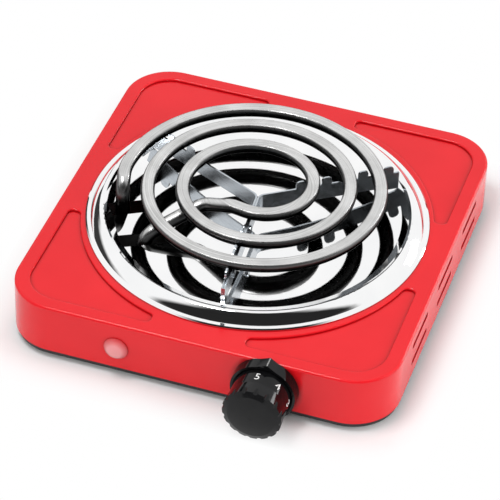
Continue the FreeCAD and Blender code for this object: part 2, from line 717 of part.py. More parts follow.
def make_housing():
    body = new_body("top_housing", z=s.ground_gap)
    outside = new_sketch(body, "HousingOutside")
    draw_rectangle(outside, s.housing_width, s.housing_depth, s.housing_corner)
    pad(body, outside, s.housing_height)
    round_edges(body, s.housing_edge, lambda edge: level(edge, s.housing_height.value))
    inside = new_sketch(body, "HousingInside")
    draw_rectangle(inside, s.housing_width - s.housing_sheet * 2, s.housing_depth - s.housing_sheet * 2,
                   s.housing_corner - s.housing_sheet)
    pocket(body, inside, s.housing_height - s.housing_sheet, along_normal=True)
    under = s.housing_height - s.housing_sheet
    for number, (sign_x, sign_y) in enumerate(corner_signs(), 1):
        backing = new_sketch(body, "PanelBacking%d" % number, lift=under)
        panel_outline(backing, sign_x, sign_y, s.housing_sheet)
        pad(body, backing, s.panel_depth, down=True)
    for number, (sign_x, sign_y) in enumerate(corner_signs(), 1):
        panel = new_sketch(body, "Panel%d" % number, lift=s.housing_height)
        panel_outline(panel, sign_x, sign_y, ZERO)
        pocket(body, panel, s.panel_depth)
    round_edges(body, least(s.panel_tip, s.panel_tip_length / 2), at_panel_tip)
    round_edges(body, least(s.panel_rounding, s.panel_depth * 0.75), at_panel_top)
    well = new_sketch(body, "Well", lift=s.housing_height)
    draw_circle(well, ZERO, ZERO, s.well_radius)
    pocket(body, well, s.housing_sheet * 2)
    vents = new_sketch(body, "Vents", role="YZ_Plane")
    for column in (-1, 0, 1):
        for row in (0, 1):
            height = s.housing_height - s.vent_drop - s.vent_row_pitch * row
            draw_rectangle(vents, s.vent_length, s.vent_height, s.vent_corner,
                           s.vent_pitch * column, height)
    pocket(body, vents, both_ways=True)
    controls = new_sketch(body, "ControlHoles", role="XZ_Plane")
    height = s.housing_height - s.control_drop
    draw_circle(controls, knob_x, height, s.bush_radius + s.fit_gap)
    draw_circle(controls, lamp_x, height, s.lens_barrel_radius + s.fit_gap)
    for side in (-1, 1):
        draw_circle(controls, knob_x + s.bezel_screw_offset * side, height, s.screw_radius + s.fit_gap)
    pocket(body, controls, along_normal=True)
    gland = new_sketch(body, "GlandHole", role="XZ_Plane")
    draw_circle(gland, gland_x, height, s.gland_neck + s.fit_gap)
    pocket(body, gland)
    posts = new_sketch(body, "Posts", lift=base_top_z - s.ground_gap)
    for x, y in post_places():
        draw_circle(posts, x, y, s.post_radius)
    pad(body, posts, plate_under_z - s.panel_depth + s.housing_sheet / 2 - base_top_z)
    threads = new_sketch(body, "PostHoles", lift=base_top_z - s.ground_gap)
    for x, y in post_places():
        draw_circle(threads, x, y, s.screw_radius + s.fit_gap)
    pocket(body, threads, s.screw_length, along_normal=True)


def make_base():
    body = new_body("base_plate", z=s.base_lift)
    inset = s.housing_sheet + s.base_clearance
    width = s.housing_width - inset * 2
    depth = s.housing_depth - inset * 2
    corner = s.housing_corner - inset
    floor = new_sketch(body, "BaseOutline")
    draw_rectangle(floor, width, depth, corner)
    pad(body, floor, s.base_rim)
    hollow = new_sketch(body, "BaseHollow", lift=s.base_rim)
    draw_rectangle(hollow, width - s.base_sheet * 2, depth - s.base_sheet * 2, corner - s.base_sheet)
    pocket(body, hollow, s.base_rim - s.base_sheet)
    holes = new_sketch(body, "BaseHoles", lift=s.base_sheet)
    for x, y in post_places():
        draw_circle(holes, x, y, s.screw_radius + s.fit_gap)
    for x, y in foot_places():
        draw_circle(holes, x, y, s.foot_stem_radius + s.fit_gap)
    for x, y in coil_bracket_screws():
        draw_circle(holes, x, y, s.screw_radius + s.fit_gap)
    draw_circle(holes, s.earth_x, earth_y(), s.screw_radius + s.fit_gap)
    for side in (-1, 1):
        draw_circle(holes, gland_x + block_screw_offset() * side, block_y(),
                    s.screw_radius + s.fit_gap)
    for number in range(-2, 3):
        draw_rectangle(holes, s.base_vent_length, s.base_vent_width, s.base_vent_width / 3,
                       ZERO, s.base_vent_pitch * number)
    pocket(body, holes)


def make_feet():
    names = ("foot_front_left", "foot_front_right", "foot_rear_left", "foot_rear_right")
    for name, (x, y) in zip(names, foot_places()):
        body = new_body(name, x, y)
        profile = new_sketch(body, name + "_profile", role="XZ_Plane")
        barb_top = base_top_z + s.foot_barb_height
        draw_outline(profile, [
            (ZERO, ZERO), (s.foot_radius - s.foot_taper, ZERO), (s.foot_radius, s.base_lift),
            (s.foot_stem_radius, s.base_lift), (s.foot_stem_radius, base_top_z),
            (s.foot_barb_radius, base_top_z), (s.foot_stem_radius, barb_top), (ZERO, barb_top)])
        revolve(body, profile)


def make_base_screws():
    group("base_screws", [screw("BaseScrew%d" % number, x, y, s.base_lift, UPWARD)
                          for number, (x, y) in enumerate(post_places(), 1)])


# Drip pan, coil and support

def leg_places():
    """Plan places of the coil's outer and inner ends."""
    outer_x = s.coil_centre_x - s.coil_radius + s.outer_leg_inset
    return [(outer_x, s.outer_leg_y), (s.inner_leg_x, s.inner_leg_y)]


def coil_point(turn):
    """A point of the coil's axis and its direction after so many turns, clockwise from the left."""
    angle = math.pi - 2 * math.pi * turn
    radius = s.coil_radius.value - s.coil_pitch.value * turn - s.coil_pitch_gain.value * turn ** 2
    slope = -s.coil_pitch.value - 2 * s.coil_pitch_gain.value * turn
    centre = here(s.coil_centre_x + s.coil_drift_x * turn, s.coil_centre_y + s.coil_drift_y * turn,
                  coil_axis_z)
    outward = Vector(math.cos(angle), math.sin(angle), 0)
    along = Vector(math.sin(angle), -math.cos(angle), 0)
    drift = Vector(s.coil_drift_x.value, s.coil_drift_y.value, 0)
    way = along * (2 * math.pi * radius) + outward * slope + drift
    return centre + outward * radius, way.normalize()


def coil_start():
    return coil_point(0.0)


def coil_winding():
    """The wound part of the coil: a biarc for each quarter turn."""
    quarters = math.ceil(s.coil_turns.value * 4)
    turns = [s.coil_turns.value * number / quarters for number in range(quarters + 1)]
    edges = []
    for first, last in zip(turns, turns[1:]):
        start, leaving = coil_point(first)
        end, arriving = coil_point(last)
        edges += biarc(start, leaving, end, arriving)
    return edges


def coil_leads():
    """The outer lead, bent straight down, and the inner lead, which passes under the turns."""
    outer, inner = leg_places()
    bend = s.lead_bend.value
    start, leaving = coil_start()
    angle = math.radians(s.outer_leg_angle.value)
    turning = Vector(math.cos(angle), math.sin(angle), 0)
    corner = here(outer[0], outer[1], coil_axis_z)
    outer_lead = biarc(start, -leaving, corner - turning * bend, turning)
    outer_lead += rounded_route([corner - turning * bend, corner, here(outer[0], outer[1], leg_end_z)], bend)
    end, way = coil_point(s.coil_turns.value)
    level_end = end + way * s.lead_run.value
    low_start = level_end + way * s.lead_slope.value - Vector(0, 0, s.lead_drop.value)
    inner_lead = rounded_route([end, level_end, low_start, here(inner[0], inner[1], plate_z + s.lead_height),
                                here(inner[0], inner[1], leg_end_z)], bend)
    return outer_lead, inner_lead


def least_self_gap(path):
    """Least gap of the tube to itself, measured on points along its path."""
    step = s.tube_radius.value
    points = path.discretize(Distance=step)
    apart = int(math.pi * s.lead_bend.value / step) + 1
    least = min((points[i] - points[j]).Length for i in range(len(points))
                for j in range(i + apart, len(points)))
    return least - 2 * s.tube_radius.value


def make_coil():
    outer_lead, inner_lead = coil_leads()
    tube, path = tube_along(outer_lead + coil_winding() + inner_lead, s.tube_radius.value)
    print("coil length %.1f mm, least gap to itself %.2f mm" % (path.Length, least_self_gap(path)))
    bare = doc.addObject("Part::Feature", "CoilTube")
    bare.Shape = tube
    reach = s.coil_radius + s.tube_radius * 3
    trim = box("CoilTrim", reach * 2, reach * 2, s.tube_radius, -reach, -reach, plate_z + s.coil_height)
    keep(cut("HeatingCoil", bare, trim), "heating_coil")


def make_pan():
    body = new_body("drip_pan", z=plate_z)
    top = [(s.pan_radius, s.pan_sheet), (s.pan_rim_radius, s.pan_rim_height),
           (s.pan_lip_radius, s.pan_lip_height), (s.pan_slope_radius, s.pan_slope_height),
           (s.pan_crest_radius, s.pan_crest_height), (s.pan_step_radius, s.pan_step_height),
           (s.pan_floor_radius, s.pan_floor_height), (ZERO, -s.pan_depth)]
    slope = top[2:4]
    under = [(x - s.pan_sheet / 2 if (x, y) in slope else x, y - s.pan_sheet) for x, y in reversed(top)]
    floor_round = cap_round(s.pan_floor_radius, s.pan_floor_height + s.pan_depth)
    profile = new_sketch(body, "PanProfile", role="XZ_Plane")
    draw_outline(profile, top + under, {
        2: (s.pan_slope_round, True), 3: (s.pan_crest_round, True), 6: (floor_round, False),
        8: (floor_round, True), 11: (s.pan_crest_round, False), 12: (s.pan_slope_round, False)})
    revolve(body, profile)
    reaches = (s.slot_reach, s.inner_slot_reach)
    for name, reach, (x, y) in zip(("Outer", "Inner"), reaches, leg_places()):
        slot = new_sketch(body, name + "LeadSlot", lift=s.pan_slope_height * 2, x=x, y=y, angle=s.slot_angle)
        draw_rectangle(slot, s.slot_length, s.slot_width, s.slot_corner, s.slot_length / 2 - reach)
        pocket(body, slot)


def arm_way(number):
    """Direction of an arm: 0 is the doubled front arm, 1 the right one and 2 the left one."""
    angle = math.radians(s.arm_angle.value + 120 * number)
    return Vector(math.cos(angle), math.sin(angle), 0)


def arm_crossings(number):
    """Distances from the burner's axis at which the coil's turns cross an arm."""
    angle = s.arm_angle.value + 120 * number
    first = ((180 - angle) / 360) % 1.0
    axis = here(ZERO, ZERO, coil_axis_z)
    crossings = []
    for turn in range(math.ceil(s.coil_turns.value)):
        if first + turn <= s.coil_turns.value:
            point, way = coil_point(first + turn)
            crossings.append((point - axis).dot(arm_way(number)))
    return crossings


def seat_z():
    """Height of an arm's foot, which rests on the highest place of the pan within its reach."""
    pan = parts["drip_pan"].Shape
    box = pan.BoundBox
    reach = math.hypot(s.arm_length.value, s.strip_sheet.value + s.strip_gap.value / 2)
    within = Part.makeCylinder(reach, box.ZLength, here(ZERO, ZERO, box.ZMin))
    return pan.common(within).BoundBox.ZMax + s.seat_gap.value


def strip_heights():
    """Heights of a strip's lower edge, between its feet, and of its upper edge."""
    bottom = arm_seat_z + s.strip_foot_drop.value
    top = (coil_axis_z - s.tube_radius - s.seat_gap).value
    return bottom, top


def set_on_arm(solid, number, inside, distance):
    """Move a plate made along +X to its place on an arm's strip, on the inside of the bend."""
    thickness = s.strip_sheet.value
    solid.translate(Vector(distance, -thickness / 2, 0))
    solid.rotate(Vector(0, 0, 0), Vector(0, 0, 1), s.arm_angle.value + 120 * number)
    solid.translate(here(ZERO, ZERO, ZERO) + inside * ((thickness + s.strip_gap.value) / 2))
    return solid


def strip_foot(number, inside):
    """The foot at an arm's end, which reaches down to the pan."""
    bottom, top = strip_heights()
    length = s.strip_foot.value
    height = (bottom + top) / 2 - arm_seat_z
    solid = Part.makeBox(length, s.strip_sheet.value, height, Vector(0, 0, arm_seat_z))
    return set_on_arm(solid, number, inside, s.arm_length.value - length)


def tab(number, inside, distance):
    """A rounded tab on an arm's strip, which stands on the inside of the bent strip's line."""
    bottom, top = strip_heights()
    half = s.tab_width.value / 2
    peak = top + s.tab_height.value
    foot = top - s.tab_height.value
    corner = s.tab_corner.value
    part_way = corner * (1 - math.sqrt(0.5))
    outline = [Vector(-half, 0, foot), Vector(-half, 0, peak - corner),
               Vector(corner - half, 0, peak), Vector(half - corner, 0, peak),
               Vector(half, 0, peak - corner), Vector(half, 0, foot)]
    edges = [
        Part.LineSegment(outline[0], outline[1]).toShape(),
        Part.Arc(outline[1], Vector(part_way - half, 0, peak - part_way), outline[2]).toShape(),
        Part.LineSegment(outline[2], outline[3]).toShape(),
        Part.Arc(outline[3], Vector(half - part_way, 0, peak - part_way), outline[4]).toShape(),
        Part.LineSegment(outline[4], outline[5]).toShape(),
        Part.LineSegment(outline[5], outline[0]).toShape(),
    ]
    solid = Part.Face(Part.Wire(edges)).extrude(Vector(0, s.strip_sheet.value, 0))
    return set_on_arm(solid, number, inside, distance)


def make_strip(label, other, tabbed):
    """A strip on edge, bent at the middle from the front arm to another arm."""
    front, side = arm_way(0), arm_way(other)
    offset = (s.strip_sheet.value + s.strip_gap.value) / 2
    between = (front + side).normalize()
    half_angle = front.getAngle(side) / 2
    corner = between * (offset / math.sin(half_angle))
    across = {0: (between - front * between.dot(front)).normalize(),
              other: (between - side * between.dot(side)).normalize()}
    bottom, top = strip_heights()
    centre = here(ZERO, ZERO, ZERO) + Vector(0, 0, bottom)
    length = s.arm_length.value
    points = [centre + across[0] * offset + front * length, centre + corner,
              centre + across[other] * offset + side * length]
    path = Part.Wire(Part.__sortEdges__(rounded_route(points, s.strip_bend.value)))
    half = across[0] * (s.strip_sheet.value / 2)
    rise = Vector(0, 0, top - bottom)
    section = Part.makePolygon([points[0] - half, points[0] + half, points[0] + half + rise,
                                points[0] - half + rise, points[0] - half])
    strip = path.makePipeShell([section], True, False)
    reach = s.tube_radius.value + s.tab_clearance.value + s.tab_width.value / 2
    tabs = [tab(arm, across[arm], arm_crossings(arm)[turn] + reach * side_of)
            for arm, turn in tabbed for side_of in (-1, 1)]
    feet = [strip_foot(arm, across[arm]) for arm in (0, other)]
    holes = rivet_holes((s.rivet_radius + s.fit_gap).value)
    shape_part(label, strip.fuse(tabs + feet).removeSplitter().cut(holes))


def rivet_holes(strip_radius):
    """Cylinders across the doubled front arm at its rivets."""
    bottom, top = strip_heights()
    across = Vector(0, 0, 1).cross(arm_way(0))
    reach = s.strip_sheet.value + s.strip_gap.value / 2 + s.rivet_head_height.value
    holes = []
    for distance in (s.rivet_inner, s.rivet_outer):
        middle = here(ZERO, ZERO, ZERO) + arm_way(0) * distance.value
        middle.z = (bottom + top) / 2
        holes.append(Part.makeCylinder(strip_radius, 2 * reach, middle - across * reach, across))
    return holes


def make_support():
    make_strip("support_strip_left", 2, [(2, 1), (0, 0), (0, 1)])
    make_strip("support_strip_right", 1, [(1, 0), (1, 2)])
    shanks = rivet_holes(s.rivet_radius.value)
    heads = rivet_holes(s.rivet_head_radius.value)
    across = Vector(0, 0, 1).cross(arm_way(0))
    inside = 2 * s.strip_sheet.value + s.strip_gap.value
    rivets = []
    for shank, head in zip(shanks, heads):
        gap = Part.makeCylinder(2 * s.rivet_head_radius.value, inside,
                                head.CenterOfMass - across * (inside / 2), across)
        rivets.append(head.cut(gap).fuse(shank).removeSplitter())
    shape_part("support_rivets", Part.makeCompound(rivets))


# Coil ends and what holds them

def coil_bracket_sides():
    """Left, right, front and rear sides of the bracket round the coil's ends."""
    outer, inner = leg_places()
    return (least(outer[0], inner[0]) - s.bracket_border, most(outer[0], inner[0]) + s.bracket_border,
            least(outer[1], inner[1]) - s.bracket_border, most(outer[1], inner[1]) + s.bracket_border)


def coil_bracket_screws():
    left, right, front, rear = coil_bracket_sides()
    x = left - s.bracket_foot / 2
    return [(x, front + s.bracket_border), (x, rear - s.bracket_border)]


def nut(name, x, y, z):
    prism = doc.addObject("Part::Prism", name + "_prism")
    prism.Polygon = 6
    bind(prism, "Circumradius", s.nut_radius)
    bind(prism, "Height", s.nut_height)
    place(prism, x, y, z)
    hole = cylinder(name + "_hole", s.screw_radius + s.fit_gap, s.nut_height, x, y, z)
    return cut(name, prism, hole)


def make_coil_ends():
    seals, pins, connectors = [], [], []
    for number, (x, y) in enumerate(leg_places(), 1):
        name = "CoilEnd%d" % number
        seal_z = leg_end_z - s.seal_length
        seal = cylinder(name + "_seal", s.seal_radius, s.seal_length, x, y, seal_z)
        bore = cylinder(name + "_seal_bore", s.pin_radius + s.fit_gap, s.seal_length, x, y, seal_z)
        seals.append(cut(name + "_seal", seal, bore))
        pins.append(cylinder(name + "_pin", s.pin_radius, s.seal_length + s.pin_length, x, y, pin_end_z))
        foot_z = pin_end_z - s.connector_floor
        connector = cylinder(name + "_body", s.connector_radius, s.connector_length, x, y, foot_z)
        socket = cylinder(name + "_socket", s.pin_radius + s.fit_gap, s.connector_length, x, y, pin_end_z)
        right = cylinder(name + "_right", s.wire_radius + s.fit_gap, s.connector_radius * 2,
                         x, y, wire_z, RIGHTWARD)
        front = cylinder(name + "_front", s.wire_radius + s.fit_gap, s.connector_radius * 2,
                         x, y, wire_z, FORWARD)
        connectors.append(cut(name + "_connector", connector, socket, right, front))
    group("end_seals", seals)
    group("terminal_pins", pins)
    group("pin_connectors", connectors)


def make_coil_bracket():
    left, right, front, rear = coil_bracket_sides()
    plate_low = leg_end_z + s.bracket_lift
    depth = rear - front
    top = box("BracketTop", right - left, depth, s.bracket_sheet, left, front, plate_low)
    leg = box("BracketLeg", s.bracket_sheet, depth, plate_low + s.bracket_sheet - base_top_z,
              left, front, base_top_z)
    foot = box("BracketFoot", s.bracket_foot + s.bracket_sheet, depth, s.bracket_sheet,
               left - s.bracket_foot, front, base_top_z)
    holes = [cylinder("BracketLegHole%d" % number, s.tube_radius + s.fit_gap, s.bracket_sheet,
                      x, y, plate_low) for number, (x, y) in enumerate(leg_places(), 1)]
    holes += [cylinder("BracketScrewHole%d" % number, s.screw_radius + s.fit_gap, s.bracket_sheet,
                       x, y, base_top_z) for number, (x, y) in enumerate(coil_bracket_screws(), 1)]
    keep(cut("CoilBracket", fuse("CoilBracket", top, leg, foot), *holes), "coil_bracket")
    nut_z = base_top_z + s.bracket_sheet
    group("coil_bracket_screws", [screw("BracketScrew%d" % number, x, y, s.base_lift, UPWARD)
                                  for number, (x, y) in enumerate(coil_bracket_screws(), 1)])
    group("coil_bracket_nuts", [nut("BracketNut%d" % number, x, y, nut_z)
                                for number, (x, y) in enumerate(coil_bracket_screws(), 1)])


# Knob, bezel and thermostat, along the spindle's axis

knob_base = s.bezel_floor + s.knob_lift
hub_base = knob_base + s.knob_hub_gap
bezel_opening = s.bezel_front_radius - s.bezel_rim
bracket_front_y = front_inside_y + s.bracket_sheet
bracket_end_x = knob_x + s.bracket_right
stack_y = front_inside_y + s.bracket_depth + s.bracket_sheet
front_blade_y = stack_y + s.stack_block
rear_blade_y = front_blade_y + s.blade_sheet + s.stack_block
stack_end_y = rear_blade_y + s.blade_sheet + s.stack_block
stack_x = bracket_end_x - s.bracket_flange / 2
bush_end_y = front_inside_y + s.bush_inside


def make_bezel():
    body = new_body("knob_bezel", knob_x, front_y, control_z, FORWARD)
    profile = new_sketch(body, "BezelProfile", role="XZ_Plane")
    bore = s.bush_radius + s.fit_gap
    draw_outline(profile, [
        (bore, ZERO), (s.bezel_radius, ZERO), (s.bezel_front_radius, s.bezel_length),
        (bezel_opening, s.bezel_length), (bezel_opening, s.bezel_floor), (bore, s.bezel_floor)])
    revolve(body, profile)
    pointer = new_sketch(body, "BezelPointer", angle=-s.pointer_angle)
    ridge = s.bezel_radius + s.pointer_height
    foot_radius = s.bezel_front_radius - s.bezel_rim / 4
    half = s.pointer_width / 2
    foot = root(foot_radius * foot_radius - half * half)
    draw_outline(pointer, [(-half, foot), (half, foot), (ZERO, ridge)], {0: (ridge, False)})
    pad(body, pointer, s.bezel_length)
    holes = new_sketch(body, "BezelScrewHoles", lift=s.bezel_floor)
    for side in (-1, 1):
        draw_circle(holes, s.bezel_screw_offset * side, ZERO, s.screw_radius + s.fit_gap)
    pocket(body, holes, s.bezel_floor)


def make_knob():
    first_flute = s.dial_angle + Size.of(180) / s.flute_count
    turn = FORWARD.multiply(Rotation(Vector(0, 0, 1), -first_flute.value))
    body = new_body("control_knob", knob_x, front_y, control_z, turn)
    base_radius = bezel_opening - s.knob_gap
    cone_end = knob_base + s.knob_cone
    grip_end = s.knob_reach - s.knob_dome
    cap_under = grip_end - s.knob_wall
    profile = new_sketch(body, "KnobProfile", role="XZ_Plane")
    draw_outline(profile, [
        (ZERO, hub_base), (s.knob_hub_radius, hub_base), (s.knob_hub_radius, cap_under),
        (s.knob_grip_radius - s.knob_wall, cap_under), (base_radius - s.knob_wall, knob_base),
        (base_radius, knob_base), (s.knob_cone_radius, cone_end),
        (s.knob_grip_radius, grip_end - s.knob_edge), (s.knob_cap_radius, grip_end),
        (ZERO, s.knob_reach)], {8: (cap_round(s.knob_cap_radius, s.knob_dome), True)})
    revolve(body, profile)
    flute_x = s.knob_grip_radius + s.flute_radius - s.flute_depth
    flute = new_sketch(body, "KnobFlute", lift=s.knob_reach, x=flute_x, angle=-s.flute_slant,
                       about=Vector(0, 1, 0))
    draw_circle(flute, ZERO, ZERO, s.flute_radius)
    groove = pocket(body, flute, s.knob_reach - knob_base)
    pattern = body.newObject("PartDesign::PolarPattern", "KnobFlutes")
    pattern.Originals = [groove]
    pattern.Axis = (origin_feature(body, "Z_Axis"), [""])
    pattern.Angle = 360
    bind(pattern, "Occurrences", s.flute_count)
    body.Tip = pattern
    doc.recompute()
    bore = new_sketch(body, "KnobBore", lift=hub_base, angle=first_flute)
    radius = s.spindle_radius + s.fit_gap
    flat = s.spindle_flat + s.clip_sheet + s.fit_gap * 2
    half = root(radius * radius - flat * flat)
    draw_outline(bore, [(half, -flat), (ZERO, radius), (-half, -flat)],
                 {0: (radius, True), 1: (radius, True)})
    pocket(body, bore, s.spindle_seat + s.fit_gap, along_normal=True)


def make_spindle():
    end_y = front_blade_y - s.spindle_gap
    tip_y = front_y - hub_base - s.spindle_seat
    rod = cylinder("SpindleRod", s.spindle_radius, end_y - tip_y, knob_x, tip_y, control_z, BACKWARD)
    collar = cylinder("SpindleCollar", s.collar_radius, s.collar_length,
                      knob_x, bush_end_y + s.collar_gap, control_z, BACKWARD)
    flat = box("SpindleFlat", s.spindle_radius * 2, s.spindle_seat, s.spindle_radius,
               knob_x - s.spindle_radius, tip_y, control_z - s.spindle_flat - s.spindle_radius)
    keep(cut("Spindle", fuse("Spindle", rod, collar), flat), "control_spindle")
    clip = box("KnobClip", s.clip_width, s.clip_length, s.clip_sheet, knob_x - s.clip_width / 2,
               tip_y + (s.spindle_seat - s.clip_length) / 2,
               control_z - s.spindle_flat - s.fit_gap - s.clip_sheet)
    keep(clip, "knob_clip")
    start_y = front_y - s.bezel_floor
    tube = cylinder("BushTube", s.bush_radius, bush_end_y - start_y, knob_x, start_y, control_z, BACKWARD)
    flange = cylinder("BushFlange", s.bush_flange_radius, s.bush_flange_sheet,
                      knob_x, bracket_front_y, control_z, BACKWARD)
    bore = cylinder("BushBore", s.spindle_radius + s.running_gap, bush_end_y - start_y,
                    knob_x, start_y, control_z, BACKWARD)
    keep(cut("Bush", fuse("Bush", tube, flange), bore), "spindle_bush")


def make_thermostat():
    low = s.base_lift + s.base_rim + s.bracket_gap
    height = control_z + s.bracket_rise - low
    width = s.bracket_left + s.bracket_right
    front = box("HolderFront", width, s.bracket_sheet, height, knob_x - s.bracket_left, front_inside_y, low)
    side = box("HolderSide", s.bracket_sheet, s.bracket_depth + s.bracket_sheet, height,
               bracket_end_x - s.bracket_sheet, front_inside_y, low)
    rear = box("HolderRear", s.bracket_flange, s.bracket_sheet, height,
               bracket_end_x - s.bracket_flange, stack_y - s.bracket_sheet, low)
    holes = [cylinder("HolderBushHole", s.bush_radius + s.fit_gap, s.bracket_sheet,
                      knob_x, front_inside_y, control_z, BACKWARD)]
    holes += [cylinder("HolderScrewHole%d" % (side_of + 2), s.screw_radius + s.fit_gap, s.bracket_sheet,
                       knob_x + s.bezel_screw_offset * side_of, front_inside_y, control_z, BACKWARD)
              for side_of in (-1, 1)]
    holes.append(cylinder("HolderRivetHole", s.rivet_radius + s.fit_gap, s.bracket_sheet,
                          stack_x, stack_y - s.bracket_sheet, control_z, BACKWARD))
    keep(cut("Holder", fuse("Holder", front, side, rear), *holes), "thermostat_bracket")
    shank = s.bracket_sheet + s.housing_sheet + s.bezel_floor
    group("bezel_screws", [
        screw("BezelScrew%d" % (side_of + 2), knob_x + s.bezel_screw_offset * side_of, bracket_front_y,
              control_z, FORWARD, shank) for side_of in (-1, 1)])
    blocks = []
    stack_height = s.blade_width + s.stack_border * 2
    for number, y in enumerate((stack_y, front_blade_y + s.blade_sheet, rear_blade_y + s.blade_sheet), 1):
        block = box("Stack%d" % number, s.stack_width, s.stack_block, stack_height,
                    stack_x - s.stack_width / 2, y, control_z - stack_height / 2)
        hole = cylinder("StackHole%d" % number, s.rivet_radius + s.fit_gap, s.stack_block,
                        stack_x, y, control_z, BACKWARD)
        blocks.append(cut("Stack%d" % number, block, hole))
    group("ceramic_stack", blocks)
    make_blade("bimetal_blade", front_blade_y, s.terminal_reach + s.terminal_pitch)
    make_blade("contact_blade", rear_blade_y, s.terminal_reach)
    front_y_face = front_blade_y + s.blade_sheet
    height = (s.stack_block - s.contact_gap) / 2
    contact_x = knob_x - s.contact_offset
    group("contact_buttons", [
        cylinder("FrontContact", s.contact_radius, height, contact_x, front_y_face, control_z, BACKWARD),
        cylinder("RearContact", s.contact_radius, height, contact_x, rear_blade_y, control_z, FORWARD)])
    start = stack_y - s.bracket_sheet
    rivet = cylinder("StackRivet", s.rivet_radius, stack_end_y - start, stack_x, start, control_z, BACKWARD)
    heads = [cylinder("StackRivetFront", s.rivet_head_radius, s.rivet_head_height,
                      stack_x, start, control_z, FORWARD),
             cylinder("StackRivetRear", s.rivet_head_radius, s.rivet_head_height,
                      stack_x, stack_end_y, control_z, BACKWARD)]
    keep(fuse("StackRivet", rivet, *heads), "stack_rivet")


def barrel_x(reach):
    """Middle of a blade's crimp barrel, from how far the blade passes the ceramic blocks."""
    return stack_x + s.stack_width / 2 + reach - s.barrel_radius


def make_blade(label, y, reach):
    """A contact spring between the ceramic blocks, with a crimp barrel at its outer end."""
    left = knob_x - s.blade_overhang
    length = barrel_x(reach) - left
    strip = box(label + "_strip", length, s.blade_sheet, s.blade_width,
                left, y, control_z - s.blade_width / 2)
    barrel = cylinder(label + "_barrel", s.barrel_radius, s.barrel_length,
                      barrel_x(reach), y, control_z, BACKWARD)
    hole = cylinder(label + "_hole", s.rivet_radius + s.blade_hole_gap, s.blade_sheet,
                    stack_x, y, control_z, BACKWARD)
    bore = cylinder(label + "_bore", s.wire_radius + s.fit_gap, s.wire_grip,
                    barrel_x(reach), y + s.barrel_length - s.wire_grip, control_z, BACKWARD)
    keep(cut(label, fuse(label, strip, barrel), hole, bore), label)


# Pilot lamp

lens_end_y = front_y + s.lens_barrel_length
holder_y = lens_end_y - s.holder_grip
holder_end_y = holder_y + s.holder_length


def make_lamp():
    body = new_body("lamp_lens", lamp_x, front_y, control_z, FORWARD)
    profile = new_sketch(body, "LensProfile", role="XZ_Plane")
    hollow = s.lens_barrel_radius - s.lens_wall
    top = s.lens_rim + s.lens_dome
    draw_outline(profile, [
        (hollow, -s.lens_barrel_length), (s.lens_barrel_radius, -s.lens_barrel_length),
        (s.lens_barrel_radius, ZERO), (s.lens_radius, ZERO), (s.lens_radius, s.lens_rim),
        (ZERO, top), (ZERO, top - s.lens_wall * 2), (hollow, top - s.lens_wall * 2)],
        {4: (cap_round(s.lens_radius, s.lens_dome), True)})
    revolve(body, profile)
    barrel_hole = s.lens_barrel_radius + s.fit_gap
    ring = cylinder("LampRing", s.ring_radius, s.ring_sheet, lamp_x, front_inside_y, control_z, BACKWARD)
    ring_hole = cylinder("LampRingHole", barrel_hole, s.ring_sheet,
                         lamp_x, front_inside_y, control_z, BACKWARD)
    keep(cut("LampRing", ring, ring_hole), "lamp_ring")
    holder = cylinder("LampHolder", barrel_hole + s.holder_wall, s.holder_length,
                      lamp_x, holder_y, control_z, BACKWARD)
    cup = cylinder("LampHolderCup", barrel_hole, s.holder_grip, lamp_x, holder_y, control_z, BACKWARD)
    socket = cylinder("LampSocket", s.bulb_radius + s.fit_gap, s.bulb_seat,
                      lamp_x, lens_end_y, control_z, BACKWARD)
    leads = [cylinder("LampLeadHole%d" % (side + 2), s.wire_radius + s.fit_gap, s.lead_seat,
                      lamp_x + s.lead_offset * side, holder_end_y - s.lead_seat, control_z, BACKWARD)
             for side in (-1, 1)]
    keep(cut("LampHolder", holder, cup, socket, *leads), "lamp_holder")
    bulb = cylinder("LampBulb", s.bulb_radius, s.bulb_length,
                    lamp_x, lens_end_y + s.bulb_seat - s.bulb_length, control_z, BACKWARD)
    keep(bulb, "lamp_bulb")


# Supply side

def block_y():
    return rear_y - s.block_setback


def earth_y():
    return rear_y - s.earth_setback


def block_screw_offset():
    return (s.block_length / 2 + s.block_pitch + s.way_radius) / 2


def way_x(number):
    return gland_x + s.block_pitch * number


def make_gland():
    body = new_body("cord_gland", gland_x, rear_y, control_z, BACKWARD)
    profile = new_sketch(body, "GlandProfile", role="XZ_Plane")
    draw_outline(profile, [
        (s.gland_bore, -s.gland_inside), (s.gland_flange, -s.gland_inside),
        (s.gland_flange, -s.housing_sheet), (s.gland_neck, -s.housing_sheet), (s.gland_neck, ZERO),
        (s.gland_flange, ZERO), (s.gland_neck + s.housing_sheet, s.gland_reach),
        (s.gland_bore, s.gland_reach)])
    revolve(body, profile)


